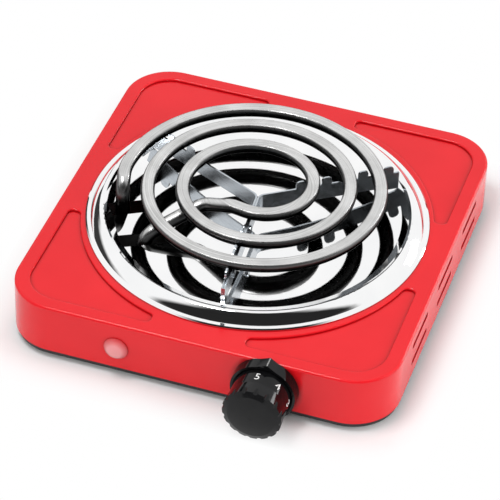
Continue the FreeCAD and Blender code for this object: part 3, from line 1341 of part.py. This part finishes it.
def make_block():
    height = wire_z + s.block_cover - base_top_z
    front = block_y() - s.block_width / 2
    block = box("Block", s.block_length, s.block_width, height,
                gland_x - s.block_length / 2, front, base_top_z)
    holes, clamps = [], []
    for number in (-1, 0, 1):
        holes.append(cylinder("Way%d" % (number + 2), s.way_radius, s.block_width,
                              way_x(number), front, wire_z, BACKWARD))
        for side in (-1, 1):
            y = block_y() + s.block_width / 4 * side
            name = "Clamp%d_%d" % (number + 2, side + 2)
            foot = wire_z + s.wire_radius + s.fit_gap
            holes.append(cylinder(name + "_hole", s.clamp_radius + s.fit_gap, s.block_cover,
                                  way_x(number), y, wire_z))
            clamps.append(cylinder(name, s.clamp_radius, wire_z + s.block_cover + s.clamp_rise - foot,
                                   way_x(number), y, foot))
    for side in (-1, 1):
        holes.append(cylinder("BlockScrewHole%d" % (side + 2), s.screw_radius + s.fit_gap,
                              s.screw_length - s.base_sheet, gland_x + block_screw_offset() * side,
                              block_y(), base_top_z))
    keep(cut("Block", block, *holes), "terminal_block")
    group("block_clamp_screws", clamps)
    group("block_fixing_screws", [
        screw("BlockScrew%d" % (side + 2), gland_x + block_screw_offset() * side, block_y(),
              s.base_lift, UPWARD) for side in (-1, 1)])


def make_earth():
    keep(screw("EarthScrew", s.earth_x, earth_y(), s.base_lift, UPWARD), "earth_screw")
    keep(nut("EarthNut", s.earth_x, earth_y(), base_top_z + s.tag_sheet), "earth_nut")
    ring = cylinder("TagRing", s.tag_radius, s.tag_sheet, s.earth_x, earth_y(), base_top_z)
    neck = box("TagNeck", s.barrel_radius * 2, s.tag_length, s.tag_sheet,
               s.earth_x - s.barrel_radius, earth_y() - s.tag_length, base_top_z)
    barrel = cylinder("TagBarrel", s.barrel_radius, s.barrel_length, s.earth_x,
                      earth_y() - s.tag_length, base_top_z + s.barrel_radius, FORWARD)
    hole = cylinder("TagHole", s.screw_radius + s.fit_gap, s.tag_sheet, s.earth_x, earth_y(), base_top_z)
    bore = cylinder("TagBore", s.wire_radius + s.fit_gap, s.barrel_length,
                    s.earth_x, earth_y() - s.tag_length, base_top_z + s.barrel_radius, FORWARD)
    keep(cut("EarthTag", fuse("EarthTag", ring, neck, barrel), hole, bore), "earth_tag")


# Wiring

def wire(label, points):
    """An insulated wire through points given from the burner's axis."""
    route = rounded_route([here(*point) for point in points], s.wire_bend.value)
    tube, path = tube_along(route, s.wire_radius.value)
    shape_part(label, tube)


def make_wires():
    outer, inner = leg_places()
    touch = s.pin_radius + s.fit_gap * 2
    block_front = block_y() - s.block_width / 2
    block_end = block_y() - s.block_width / 4 - s.clamp_radius
    turn = s.wire_bend * 2
    barrel_end = s.barrel_length - s.wire_grip + s.fit_gap
    heater_x = barrel_x(s.terminal_reach)
    live_x = barrel_x(s.terminal_reach + s.terminal_pitch)
    heater_y = rear_blade_y + barrel_end
    live_y = front_blade_y + barrel_end
    wire("heater_wire", [(heater_x, heater_y, control_z), (heater_x, stack_end_y + turn, control_z),
                         (heater_x - turn, inner[1], wire_z), (inner[0] + touch, inner[1], wire_z)])
    wire("live_wire", [(live_x, live_y, control_z), (live_x, stack_end_y + turn, control_z),
                       (live_x, block_front - turn * 3, wire_z), (way_x(1), block_front - turn, wire_z),
                       (way_x(1), block_end + s.clamp_radius * 2, wire_z)])
    wire("neutral_wire", [(outer[0] + touch, outer[1], wire_z), (s.earth_x, outer[1], wire_z),
                          (way_x(0), block_front - turn, wire_z),
                          (way_x(0), block_end + s.clamp_radius * 2, wire_z)])
    tag_y = earth_y() - s.tag_length
    tag_z = base_top_z + s.barrel_radius
    wire("earth_wire", [(s.earth_x, tag_y - s.fit_gap, tag_z),
                        (s.earth_x, tag_y - s.barrel_length - turn, tag_z),
                        (way_x(-1), block_front - turn, wire_z),
                        (way_x(-1), block_end + s.clamp_radius * 2, wire_z)])
    lead_y = holder_end_y - s.lead_seat + s.fit_gap
    lead_turn_y = holder_end_y + turn
    left_x = lamp_x - s.lead_offset
    right_x = lamp_x + s.lead_offset
    wire("lamp_lead_left", [(left_x, lead_y, control_z), (left_x, lead_turn_y, control_z),
                            (outer[0], inner[1] - turn, wire_z), (outer[0], outer[1] - touch, wire_z)])
    wire("lamp_lead_right", [(right_x, lead_y, control_z), (right_x, lead_turn_y, control_z),
                             (inner[0], inner[1] - turn, wire_z), (inner[0], inner[1] - touch, wire_z)])


def write_parts():
    """Check every object and write each sub-part to its own file."""
    doc.recompute()
    for obj in doc.Objects:
        if "Invalid" in obj.State or "Error" in obj.State:
            raise RuntimeError("%s does not compute: %s" % (obj.Name, obj.State))
        shape = getattr(obj, "Shape", None)
        if shape is not None and not obj.isDerivedFrom("App::OriginFeature"):
            if shape.isNull() or not shape.isValid():
                raise RuntimeError("%s has no valid shape" % obj.Name)
    os.makedirs("parts", exist_ok=True)
    for label, obj in parts.items():
        obj.Shape.exportStep("parts/%s.step" % label)
    print("%d sub-parts written" % len(parts))


make_housing()
make_base()
make_feet()
make_base_screws()
make_pan()
# The support stands on the finished pan
arm_seat_z = seat_z()
make_coil()
make_support()
make_coil_ends()
make_coil_bracket()
make_bezel()
make_knob()
make_spindle()
make_thermostat()
make_lamp()
make_gland()
make_block()
make_earth()
make_wires()
write_parts()
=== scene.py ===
# Looks of the single-coil hot plate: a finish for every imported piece, the printed dial, and a white
# studio with the photograph's camera. Metres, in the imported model's own frame.
import json
import math

import bpy
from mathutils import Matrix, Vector


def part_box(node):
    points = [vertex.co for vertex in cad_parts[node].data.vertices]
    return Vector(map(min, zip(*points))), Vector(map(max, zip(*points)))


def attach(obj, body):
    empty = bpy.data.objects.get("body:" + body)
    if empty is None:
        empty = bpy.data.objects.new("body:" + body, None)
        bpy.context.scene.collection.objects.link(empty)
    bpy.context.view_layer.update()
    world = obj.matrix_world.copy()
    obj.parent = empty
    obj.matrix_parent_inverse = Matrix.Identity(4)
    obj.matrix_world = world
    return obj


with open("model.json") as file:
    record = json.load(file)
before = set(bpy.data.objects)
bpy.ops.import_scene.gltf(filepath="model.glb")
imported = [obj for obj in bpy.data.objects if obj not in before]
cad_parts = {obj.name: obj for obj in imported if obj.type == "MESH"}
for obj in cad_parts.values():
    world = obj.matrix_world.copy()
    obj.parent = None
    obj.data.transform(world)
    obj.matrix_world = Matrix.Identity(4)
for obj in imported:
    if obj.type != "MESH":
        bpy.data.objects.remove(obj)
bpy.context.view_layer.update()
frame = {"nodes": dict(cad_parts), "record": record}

MM = 0.001
BODY = "hot_plate"
KNOB = "knob"


def box_middle(node):
    low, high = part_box(node)
    return (Vector(low) + Vector(high)) / 2


def add_object(name, data):
    obj = bpy.data.objects.new(name, data)
    bpy.context.collection.objects.link(obj)
    return obj


# The burner's axis, at the height of the plate's top
housing_low, housing_high = [Vector(corner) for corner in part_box("top_housing")]
plate_centre = Vector((0, (housing_low.y + housing_high.y) / 2, housing_high.z))


# Node trees

# Most of a noise texture lies between these values
NOISE_LOW = 0.3
NOISE_HIGH = 0.7


class Graph:
    """A node tree whose nodes are added and linked by short calls."""

    def __init__(self, tree):
        self.tree = tree

    def add(self, kind, values=None, **settings):
        node = self.tree.nodes.new(kind)
        for name, value in settings.items():
            setattr(node, name, value)
        for label, value in (values or {}).items():
            node.inputs[label].default_value = value
        return node

    def link(self, source, target):
        self.tree.links.new(source, target)

    def feed(self, source, target):
        """Another node's output or a constant, into a socket."""
        if isinstance(source, bpy.types.NodeSocket):
            self.link(source, target)
        else:
            target.default_value = (*source, 1) if target.type == "RGBA" else source

    def spread(self, value, low=0, high=1, first=NOISE_LOW, last=NOISE_HIGH, curve="LINEAR"):
        """A value mapped from first..last to low..high."""
        ends = {"From Min": first, "From Max": last, "To Min": low, "To Max": high}
        node = self.add("ShaderNodeMapRange", ends, interpolation_type=curve)
        self.link(value, node.inputs["Value"])
        return node.outputs["Result"]

    def mix(self, kind, share, first, second):
        """Between two numbers or colours, by a share from 0 to 1."""
        node = self.add("ShaderNodeMix", data_type=kind)
        self.feed(share, node.inputs["Factor"])
        self.feed(first, node.inputs["A"])
        self.feed(second, node.inputs["B"])
        return node.outputs["Result"]

    def combine(self, operation, first, second, clamp=False):
        """One number from two."""
        node = self.add("ShaderNodeMath", operation=operation, use_clamp=clamp)
        self.link(first, node.inputs[0])
        self.link(second, node.inputs[1])
        return node.outputs["Value"]

    def vector(self, operation, first, second=(0, 0, 0), result="Vector"):
        """A vector or a number from one or two vectors."""
        node = self.add("ShaderNodeVectorMath", operation=operation)
        self.feed(first, node.inputs[0])
        self.feed(second, node.inputs[1])
        return node.outputs[result]


class Finish(Graph):
    """A Principled material with its values set on the shader and its detail made by noise."""

    def __init__(self, name, **values):
        self.material = bpy.data.materials.new(name)
        self.material.use_nodes = True
        super().__init__(self.material.node_tree)
        self.shader = self.tree.nodes["Principled BSDF"]
        for label, value in values.items():
            self.feed(value, self.shader.inputs[label.replace("_", " ")])

    def place(self, stretch=(1, 1, 1), about=(0, 0, 0)):
        """Points in the model's frame, moved to a centre and stretched."""
        where = self.add("ShaderNodeTexCoord")
        shift = [-centre * scale for centre, scale in zip(about, stretch)]
        moved = self.add("ShaderNodeMapping", {"Location": shift, "Scale": stretch})
        self.link(where.outputs["Object"], moved.inputs["Vector"])
        return moved.outputs["Vector"]

    def distance(self, axes, about):
        """Distance from a point, counted along the axes marked 1."""
        return self.vector("LENGTH", self.place(axes, about), result="Value")

    def noise(self, size, detail=3, stretch=(1, 1, 1)):
        """Noise whose blotches are about size metres across."""
        node = self.add("ShaderNodeTexNoise", {"Scale": 1 / size, "Detail": detail})
        self.link(self.place(stretch), node.inputs["Vector"])
        return node.outputs["Fac"]

    def rings(self, size, detail):
        """Noise in rings about the burner's axis, about size metres apart."""
        node = self.add("ShaderNodeTexNoise", {"Scale": 1 / size, "Detail": detail}, noise_dimensions="1D")
        self.link(self.distance((1, 1, 0), plate_centre), node.inputs["W"])
        return node.outputs["Fac"]

    def colour(self, source):
        self.link(source, self.shader.inputs["Base Color"])

    def tint(self, value, dark, light, first=NOISE_LOW, last=NOISE_HIGH):
        """Colour between two shades, as a value goes from first to last."""
        self.colour(self.mix("RGBA", self.spread(value, first=first, last=last), dark, light))

    def rough(self, value, low, high):
        self.link(self.spread(value, low, high), self.shader.inputs["Roughness"])

    def bump(self, value, height, normal=None):
        """Relief of a height in metres, over a softened normal if one is given."""
        node = self.add("ShaderNodeBump", {"Strength": 1.0, "Distance": height})
        self.link(value, node.inputs["Height"])
        if normal:
            self.link(normal, node.inputs["Normal"])
        self.link(node.outputs["Normal"], self.shader.inputs["Normal"])


def grey(level):
    return (level, level, level)


# Finishes

def red_enamel():
    """Gloss enamel, with painted shade: deeper red in creases and recesses, where ambient occlusion finds
    them.
    """
    dark_red = (0.70, 0.006, 0.012)
    light_red = (0.76, 0.009, 0.016)
    painted_shade_red = (0.26, 0.001, 0.002)
    finish = Finish("red_enamel", Specular_IOR_Level=0.36)
    even = finish.mix("RGBA", finish.spread(finish.noise(size=40 * MM, detail=2)), dark_red, light_red)
    # Painted shade: the enamel goes dark red wherever ambient occlusion finds a crease or recess.
    crease = finish.add("ShaderNodeAmbientOcclusion", {"Distance": 4 * MM}, samples=16)
    openness = finish.spread(crease.outputs["AO"], first=0.4, last=0.95)
    finish.colour(finish.mix("RGBA", openness, painted_shade_red, even))
    finish.rough(finish.noise(size=9 * MM, detail=4), low=0.16, high=0.22)
    finish.bump(finish.noise(size=3 * MM, detail=1), height=0.003 * MM)
    return finish


def black_enamel():
    finish = Finish("black_enamel")
    finish.tint(finish.noise(size=12 * MM), dark=(0.008, 0.008, 0.009), light=(0.016, 0.016, 0.017))
    finish.rough(finish.noise(size=5 * MM), low=0.38, high=0.52)
    finish.bump(finish.noise(size=0.9 * MM), height=0.02 * MM)
    return finish


def chrome_plate():
    """Bright plate with the faint rings of a spun pressing."""
    finish = Finish("chrome_plate", Metallic=1.0)
    finish.tint(finish.noise(size=25 * MM), dark=(0.90, 0.905, 0.91), light=grey(0.95))
    finish.rough(finish.noise(size=6 * MM, detail=5), low=0.02, high=0.05)
    finish.bump(finish.rings(size=1.4 * MM, detail=2), height=0.0012 * MM)
    return finish


def heater_sheath():
    """Satin tube: a bright ground flat on top with grinding marks along it; below the flat the tube is
    darkened by heat and, towards its underside, by painted shade.
    """
    ground_dark = (0.54, 0.54, 0.535)
    ground_light = (0.80, 0.80, 0.795)
    mark_share = 0.55
    finish = Finish("heater_sheath", Metallic=1.0, Specular_Tint=grey(0.35))
    soft = finish.add("ShaderNodeBevel", {"Radius": 1.3 * MM}, samples=8).outputs["Normal"]
    facing = finish.add("ShaderNodeSeparateXYZ")
    finish.link(soft, facing.inputs["Vector"])
    up = facing.outputs["Z"]
    # Painted shade: the tube goes near black as its surface turns to face down; higher up it is darkened
    # by heat.
    shaded_sides = finish.mix("RGBA", finish.spread(up, first=0.05, last=0.80), grey(0.008), grey(0.36))
    marks = finish.rings(size=0.9 * MM, detail=3)
    worn = finish.mix("FLOAT", mark_share, finish.noise(size=14 * MM), marks)
    ground = finish.mix("RGBA", finish.spread(worn, first=0.36, last=0.64), ground_dark, ground_light)
    finish.colour(finish.mix("RGBA", finish.spread(up, first=0.50, last=0.98), shaded_sides, ground))
    finish.rough(finish.noise(size=3 * MM, detail=4), low=0.26, high=0.33)
    finish.bump(finish.noise(size=1.4 * MM, detail=4), height=0.0012 * MM, normal=soft)
    return finish


def strip_steel():
    """Bare strip with the fine lines of rolling along it."""
    finish = Finish("strip_steel", Metallic=1.0)
    drawn = finish.noise(size=0.5 * MM, stretch=(0.06, 0.06, 1))
    finish.tint(drawn, dark=(0.50, 0.54, 0.58), light=(0.58, 0.62, 0.66))
    finish.rough(finish.noise(size=4 * MM), low=0.20, high=0.27)
    finish.bump(drawn, height=0.0008 * MM)
    return finish


def black_plastic():
    finish = Finish("black_plastic", Specular_IOR_Level=0.24)
    finish.tint(finish.noise(size=6 * MM), dark=(0.003, 0.003, 0.0035), light=(0.006, 0.006, 0.0065))
    finish.rough(finish.noise(size=3 * MM), low=0.07, high=0.13)
    finish.bump(finish.noise(size=0.6 * MM), height=0.002 * MM)
    return finish


def lens_plastic():
    """Clear red plastic, with painted shade: deeper red towards the rim, where it is also thicker, so that
    the dome reads as rounded.
    """
    finish = Finish("lens_plastic", Transmission_Weight=0.25, Subsurface_Weight=0.4,
                    Subsurface_Radius=(4 * MM, 1 * MM, 1 * MM), IOR=1.49)
    # Painted shade: the colour darkens from a pale pinkish middle to a deep red rim.
    from_middle = finish.distance((1, 0, 1), box_middle("lamp_lens"))
    finish.tint(from_middle, (0.98, 0.38, 0.39), (0.80, 0.08, 0.09), first=4.2 * MM, last=7.0 * MM)
    finish.rough(finish.noise(size=2 * MM), low=0.05, high=0.10)
    finish.bump(finish.noise(size=1 * MM), height=0.002 * MM)
    return finish


def bulb_glass():
    finish = Finish("bulb_glass", Transmission_Weight=1.0, IOR=1.47)
    finish.tint(finish.noise(size=2 * MM), dark=(0.95, 0.86, 0.78), light=(1.0, 0.93, 0.86))
    finish.rough(finish.noise(size=1 * MM), low=0.02, high=0.08)
    return finish


def earth_insulation():
    """Green insulation with yellow stripes."""
    finish = Finish("earth_insulation")
    stripes = {"Scale": 1 / (7 * MM), "Distortion": 1.0}
    bands = finish.add("ShaderNodeTexWave", stripes, bands_direction="DIAGONAL")
    finish.link(finish.place(), bands.inputs["Vector"])
    finish.tint(bands.outputs["Fac"], (0.05, 0.28, 0.04), (0.75, 0.62, 0.04), first=0.5, last=0.6)
    finish.rough(finish.noise(size=2 * MM), low=0.4, high=0.5)
    finish.bump(finish.noise(size=0.7 * MM), height=0.01 * MM)
    return finish


def plain(name, dark, light, rough, grain, relief, metallic=0.0):
    """A surface with fine grain: two shades, a coarser range of roughness and a low relief."""
    wear_size = 3 * grain
    finish = Finish(name, Metallic=metallic)
    pattern = finish.noise(grain, detail=4)
    finish.tint(pattern, dark, light)
    finish.rough(finish.noise(wear_size), *rough)
    finish.bump(pattern, relief)
    return finish


def plated(name, dark, light, rough, grain):
    """Bare or plated metal of a small piece."""
    return plain(name, dark, light, rough, grain, relief=0.004 * MM, metallic=1.0)


def insulation(name, dark, light):
    """Silicone sleeve of a wire."""
    return plain(name, dark, light, rough=(0.4, 0.52), grain=0.8 * MM, relief=0.01 * MM)


def ink(name, dark, light, grain):
    """Print on the dial."""
    return plain(name, dark, light, rough=(0.4, 0.55), grain=grain, relief=0.004 * MM)


FINISHES = {
    "red_paint": red_enamel(),
    "black_sheet": black_enamel(),
    "chrome": chrome_plate(),
    "heater_steel": heater_sheath(),
    "strip_steel": strip_steel(),
    "black_knob": black_plastic(),
    "lens_red": lens_plastic(),
    "rubber_black": plain("rubber", grey(0.010), grey(0.022),
                          rough=(0.6, 0.75), grain=0.7 * MM, relief=0.03 * MM),
    "zinc_steel": plated("zinc_plate", (0.52, 0.52, 0.50), (0.68, 0.67, 0.63),
                         rough=(0.24, 0.36), grain=0.9 * MM),
    "brass": plated("brass", (0.60, 0.42, 0.16), (0.76, 0.57, 0.26),
                    rough=(0.2, 0.32), grain=1.2 * MM),
    "ceramic": plain("ceramic", (0.76, 0.73, 0.65), (0.86, 0.84, 0.78),
                     rough=(0.25, 0.4), grain=0.8 * MM, relief=0.008 * MM),
    "holder_plastic": plain("holder_plastic", (0.72, 0.70, 0.64), (0.80, 0.78, 0.72),
                            rough=(0.35, 0.5), grain=0.9 * MM, relief=0.01 * MM),
    "bulb_glass": bulb_glass(),
    "wire_brown": insulation("brown_insulation", (0.10, 0.045, 0.02), (0.15, 0.07, 0.03)),
    "wire_blue": insulation("blue_insulation", (0.03, 0.09, 0.34), (0.05, 0.13, 0.42)),
    "wire_green": earth_insulation(),
    "wire_white": insulation("white_insulation", (0.70, 0.70, 0.67), (0.80, 0.80, 0.77)),
}


def dress(obj, finish):
    obj.data.materials.clear()
    obj.data.materials.append(finish.material)


for entry in frame["record"]["subparts"]:
    dress(frame["nodes"][entry["node"]], FINISHES[entry["material_slot"]])

# Painted shade: what stands right under the coil's ends, seen down the slots, is made near black to stand
# for the shade in the slots.
SLOT_SHADE = plain("painted_slot_shade", grey(0.010), (0.030, 0.029, 0.027),
                 rough=(0.5, 0.65), grain=1.1 * MM, relief=0.01 * MM)
for slot_shaded_node in ("coil_bracket", "coil_bracket_screws", "coil_bracket_nuts"):
    dress(frame["nodes"][slot_shaded_node], SLOT_SHADE)


# Printed dial

PRINT = ink("white_print", (0.74, 0.74, 0.73), (0.84, 0.84, 0.83), grain=0.5 * MM)
WORN_PRINT = ink("worn_print", grey(0.12), (0.34, 0.34, 0.33), grain=0.7 * MM)
PRINT_THICKNESS = 0.05 * MM
knob_axis = box_middle("control_knob")
wall_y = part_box("knob_bezel")[1][1]

# Numbers on the knob's cone, lengths measured out from the front wall
DIAL_NUMBERS = 6
DIAL_STEP = math.radians(44)
DIAL_ANGLE = math.radians(-5.4)
NUMBER_HEIGHT = 4.6 * MM
NUMBER_MIDDLE = 11.7 * MM
CONE_START = 3.0 * MM
CONE_LENGTH = 13.5 * MM
CONE_BASE_RADIUS = 16.6 * MM
CONE_END_RADIUS = 16.3 * MM

# Letters before they are scaled: depth to each side, and steps of each curve
LETTER_DEPTH = 0.05
LETTER_STEPS = 6

# Index line on the bezel's pointer
POINTER_ANGLE = math.radians(5.4)
POINTER_RIDGE = 21.0 * MM
POINTER_SLOPE = 0.57
INDEX_HALF = 0.32 * MM
INDEX_ENDS = (0.3 * MM, 6.85 * MM)


def on_cone(angle, out, lift):
    """A point over the knob's numbered cone, clockwise from the top and out from the wall."""
    share = (out - CONE_START) / CONE_LENGTH
    radius = CONE_BASE_RADIUS + (CONE_END_RADIUS - CONE_BASE_RADIUS) * share + lift
    across = radius * math.sin(angle)
    rise = radius * math.cos(angle)
    return Vector((knob_axis.x + across, wall_y - out, knob_axis.z + rise))


def number_mesh(text):
    """Outlines of a number as a thin mesh, centred across and standing on its base line."""
    curve = bpy.data.curves.new("number", "FONT")
    curve.body = text
    curve.extrude = LETTER_DEPTH
    curve.align_x = "CENTER"
    curve.resolution_u = LETTER_STEPS
    holder = add_object("number", curve)
    bpy.context.view_layer.update()
    mesh = bpy.data.meshes.new_from_object(holder)
    bpy.data.objects.remove(holder)
    return mesh


def make_numbers():
    """Numbers wrapped on the cone: the highest at the dial's angle, the lower ones clockwise from it."""
    for number in range(DIAL_NUMBERS):
        angle = DIAL_ANGLE + DIAL_STEP * (DIAL_NUMBERS - 1 - number)
        mesh = number_mesh(str(number))
        scale = NUMBER_HEIGHT / max(vertex.co.y for vertex in mesh.vertices)
        for vertex in mesh.vertices:
            across = vertex.co.x * scale
            rise = vertex.co.y * scale - NUMBER_HEIGHT / 2
            lift = PRINT_THICKNESS if vertex.co.z > 0 else -PRINT_THICKNESS
            vertex.co = on_cone(angle + across / CONE_BASE_RADIUS, NUMBER_MIDDLE - rise, lift)
        piece = add_object("dial_number_%d" % number, mesh)
        dress(piece, PRINT)
        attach(piece, KNOB)


def make_index_line():
    """Worn white line along the ridge of the bezel's pointer, folded over it."""
    points = []
    for out in INDEX_ENDS:
        for lift in (-PRINT_THICKNESS, PRINT_THICKNESS):
            for across in (-INDEX_HALF, 0, INDEX_HALF):
                radius = POINTER_RIDGE - abs(across) * POINTER_SLOPE + lift
                x = across * math.cos(POINTER_ANGLE) + radius * math.sin(POINTER_ANGLE)
                z = radius * math.cos(POINTER_ANGLE) - across * math.sin(POINTER_ANGLE)
                points.append((knob_axis.x + x, wall_y - out, knob_axis.z + z))
    near_end = (0, 1, 2, 5, 4, 3)
    count = len(near_end)
    far_end = tuple(corner + count for corner in reversed(near_end))
    faces = [near_end, far_end]
    for start, end in zip(near_end, near_end[1:] + near_end[:1]):
        faces.append((start, start + count, end + count, end))
    mesh = bpy.data.meshes.new("index_line")
    mesh.from_pydata(points, [], faces)
    piece = add_object("index_line", mesh)
    dress(piece, WORN_PRINT)
    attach(piece, BODY)


make_numbers()
make_index_line()


# Studio

# The floor turns plain white between these distances from the housing, and keeps its shadow nearer
SHADOW_EDGE = (0.002, 0.026)
FLOOR_HALF = 3.0


def make_floor():
    half = FLOOR_HALF
    mesh = bpy.data.meshes.new("floor")
    corners = [(-half, -half, 0), (half, -half, 0), (half, half, 0), (-half, half, 0)]
    mesh.from_pydata(corners, [], [(0, 1, 2, 3)])
    floor = add_object("floor", mesh)
    finish = Finish("floor", Base_Color=grey(0.86), Roughness=0.9, Specular_IOR_Level=0.0)
    housing_half = (housing_high - housing_low) / 2
    folded = finish.vector("ABSOLUTE", finish.place((1, 1, 0), plate_centre))
    beyond = finish.vector("SUBTRACT", folded, (housing_half.x, housing_half.y, 0))
    outside = finish.vector("MAXIMUM", beyond)
    away = finish.vector("LENGTH", outside, result="Value")
    far = finish.spread(away, first=SHADOW_EDGE[0], last=SHADOW_EDGE[1])
    # The camera sees that white directly, in reflections and through clear pieces
    ray = finish.add("ShaderNodeLightPath").outputs
    seen = finish.combine("ADD", ray["Is Camera Ray"], ray["Is Glossy Ray"], clamp=True)
    seen = finish.combine("ADD", seen, ray["Is Transmission Ray"], clamp=True)
    white = finish.add("ShaderNodeEmission", {"Color": (1, 1, 1, 1), "Strength": 1.0})
    mixed = finish.add("ShaderNodeMixShader")
    finish.link(finish.combine("MULTIPLY", far, seen), mixed.inputs["Fac"])
    finish.link(finish.shader.outputs["BSDF"], mixed.inputs[1])
    finish.link(white.outputs["Emission"], mixed.inputs[2])
    finish.link(mixed.outputs["Shader"], finish.tree.nodes["Material Output"].inputs["Surface"])
    dress(floor, finish)


# Light of the surroundings; the ranges are parts of a direction of length 1
AMBIENT = 0.45
WHITE = 1.0
DARK_AXIS = Vector((0.294, -0.956, 0.0))
DARK_EDGE = (0.28, 0.42)
DARK_RISE = (0.36, 0.50)
DARK_LEVEL = 0.02
DARK_LOW_LEVEL = 0.30
FLAG_SIDE = (-0.55, -0.30)
FLAG_TOP = (0.18, 0.32)
FLAG_LEVEL = 0.04


def make_world():
    """White all round for the camera; gloss shows a dark room in front and a low dark flag on the left."""
    world = bpy.data.worlds.new("studio")
    bpy.context.scene.world = world
    world.use_nodes = True
    world.node_tree.nodes.clear()
    sky = Graph(world.node_tree)

    def ramp(source, ends, low, high):
        return sky.spread(source, low, high, *ends, curve="SMOOTHSTEP")

    way = sky.add("ShaderNodeTexCoord").outputs["Generated"]
    axes = sky.add("ShaderNodeSeparateXYZ")
    sky.link(way, axes.inputs["Vector"])
    side = axes.outputs["X"]
    height = axes.outputs["Z"]
    toward = sky.vector("DOT_PRODUCT", way, DARK_AXIS, result="Value")
    dark = ramp(height, DARK_RISE, DARK_LOW_LEVEL, DARK_LEVEL)
    ahead = sky.mix("FLOAT", ramp(toward, DARK_EDGE, 0.0, 1.0), WHITE, dark)
    flag_across = ramp(side, FLAG_SIDE, FLAG_LEVEL, WHITE)
    flag_up = ramp(height, FLAG_TOP, FLAG_LEVEL, WHITE)
    flag = sky.combine("MAXIMUM", flag_across, flag_up)
    room = sky.combine("MINIMUM", ahead, flag)
    ray = sky.add("ShaderNodeLightPath").outputs
    lit = sky.mix("FLOAT", ray["Is Glossy Ray"], AMBIENT, room)
    plain_white = sky.combine("MAXIMUM", ray["Is Camera Ray"], ray["Is Transmission Ray"])
    background = sky.add("ShaderNodeBackground", {"Color": (1, 1, 1, 1)})
    sky.link(sky.combine("MAXIMUM", lit, plain_white), background.inputs["Strength"])
    output = sky.add("ShaderNodeOutputWorld")
    sky.link(background.outputs["Background"], output.inputs["Surface"])


def make_lamp(name, place, power, size, glossy=False):
    """A square soft light that faces the burner; gloss mirrors it only if told to."""
    lamp = bpy.data.lights.new(name, "AREA")
    lamp.energy = power
    lamp.size = size
    holder = add_object(name, lamp)
    holder.location = place
    holder.rotation_euler = (plate_centre - Vector(place)).to_track_quat("-Z", "Y").to_euler()
    holder.visible_glossy = glossy


# Camera fitted to the photograph: angles in degrees, lengths in millimetres from the plate's centre
IMAGE_PX = 500
FOCAL_PX = 2836.3
SENSOR = 36.0
CAMERA_AZIMUTH = 17.12
CAMERA_ELEVATION = 40.36
CAMERA_ROLL = 2.05
CAMERA_DISTANCE = 1627.3
CAMERA_SIDE = -4.39
CAMERA_RISE = -19.29

# Farthest thing that the camera sees, in metres
CAMERA_REACH = 50


def make_camera():
    azimuth = math.radians(CAMERA_AZIMUTH)
    elevation = math.radians(CAMERA_ELEVATION)
    roll = math.radians(CAMERA_ROLL)
    level = Vector((math.cos(azimuth), math.sin(azimuth), 0))
    ground = Vector((math.sin(azimuth), -math.cos(azimuth), 0))
    back = ground * math.cos(elevation) + Vector((0, 0, math.sin(elevation)))
    upright = back.cross(level)
    right = level * math.cos(roll) + upright * math.sin(roll)
    up = upright * math.cos(roll) - level * math.sin(roll)
    place = plate_centre + (right * CAMERA_SIDE + up * CAMERA_RISE + back * CAMERA_DISTANCE) * MM
    lens = bpy.data.cameras.new("camera")
    lens.sensor_width = SENSOR
    lens.lens = FOCAL_PX / IMAGE_PX * SENSOR
    lens.clip_end = CAMERA_REACH
    camera = add_object("camera", lens)
    matrix = camera.matrix_world.copy()
    for row in range(3):
        matrix[row] = (right[row], up[row], back[row], place[row])
    camera.matrix_world = matrix
    bpy.context.scene.camera = camera


make_floor()
make_world()
make_lamp("overhead", place=(-0.15, 0.25, 1.3), power=3.4, size=0.9)
make_lamp("key_lamp", place=(-0.29, -0.30, 1.29), power=6.0, size=0.36, glossy=True)
make_lamp("right_softbox", place=(0.934, 0.878, 0.265), power=2.6, size=0.36, glossy=True)
make_lamp("front_fill", place=(-0.3, -1.2, 0.7), power=5.6, size=1.0)
make_lamp("right_fill", place=(1.2, -0.1, 0.45), power=7.5, size=0.8)
make_camera()
bpy.context.scene.view_settings.view_transform = "Standard"
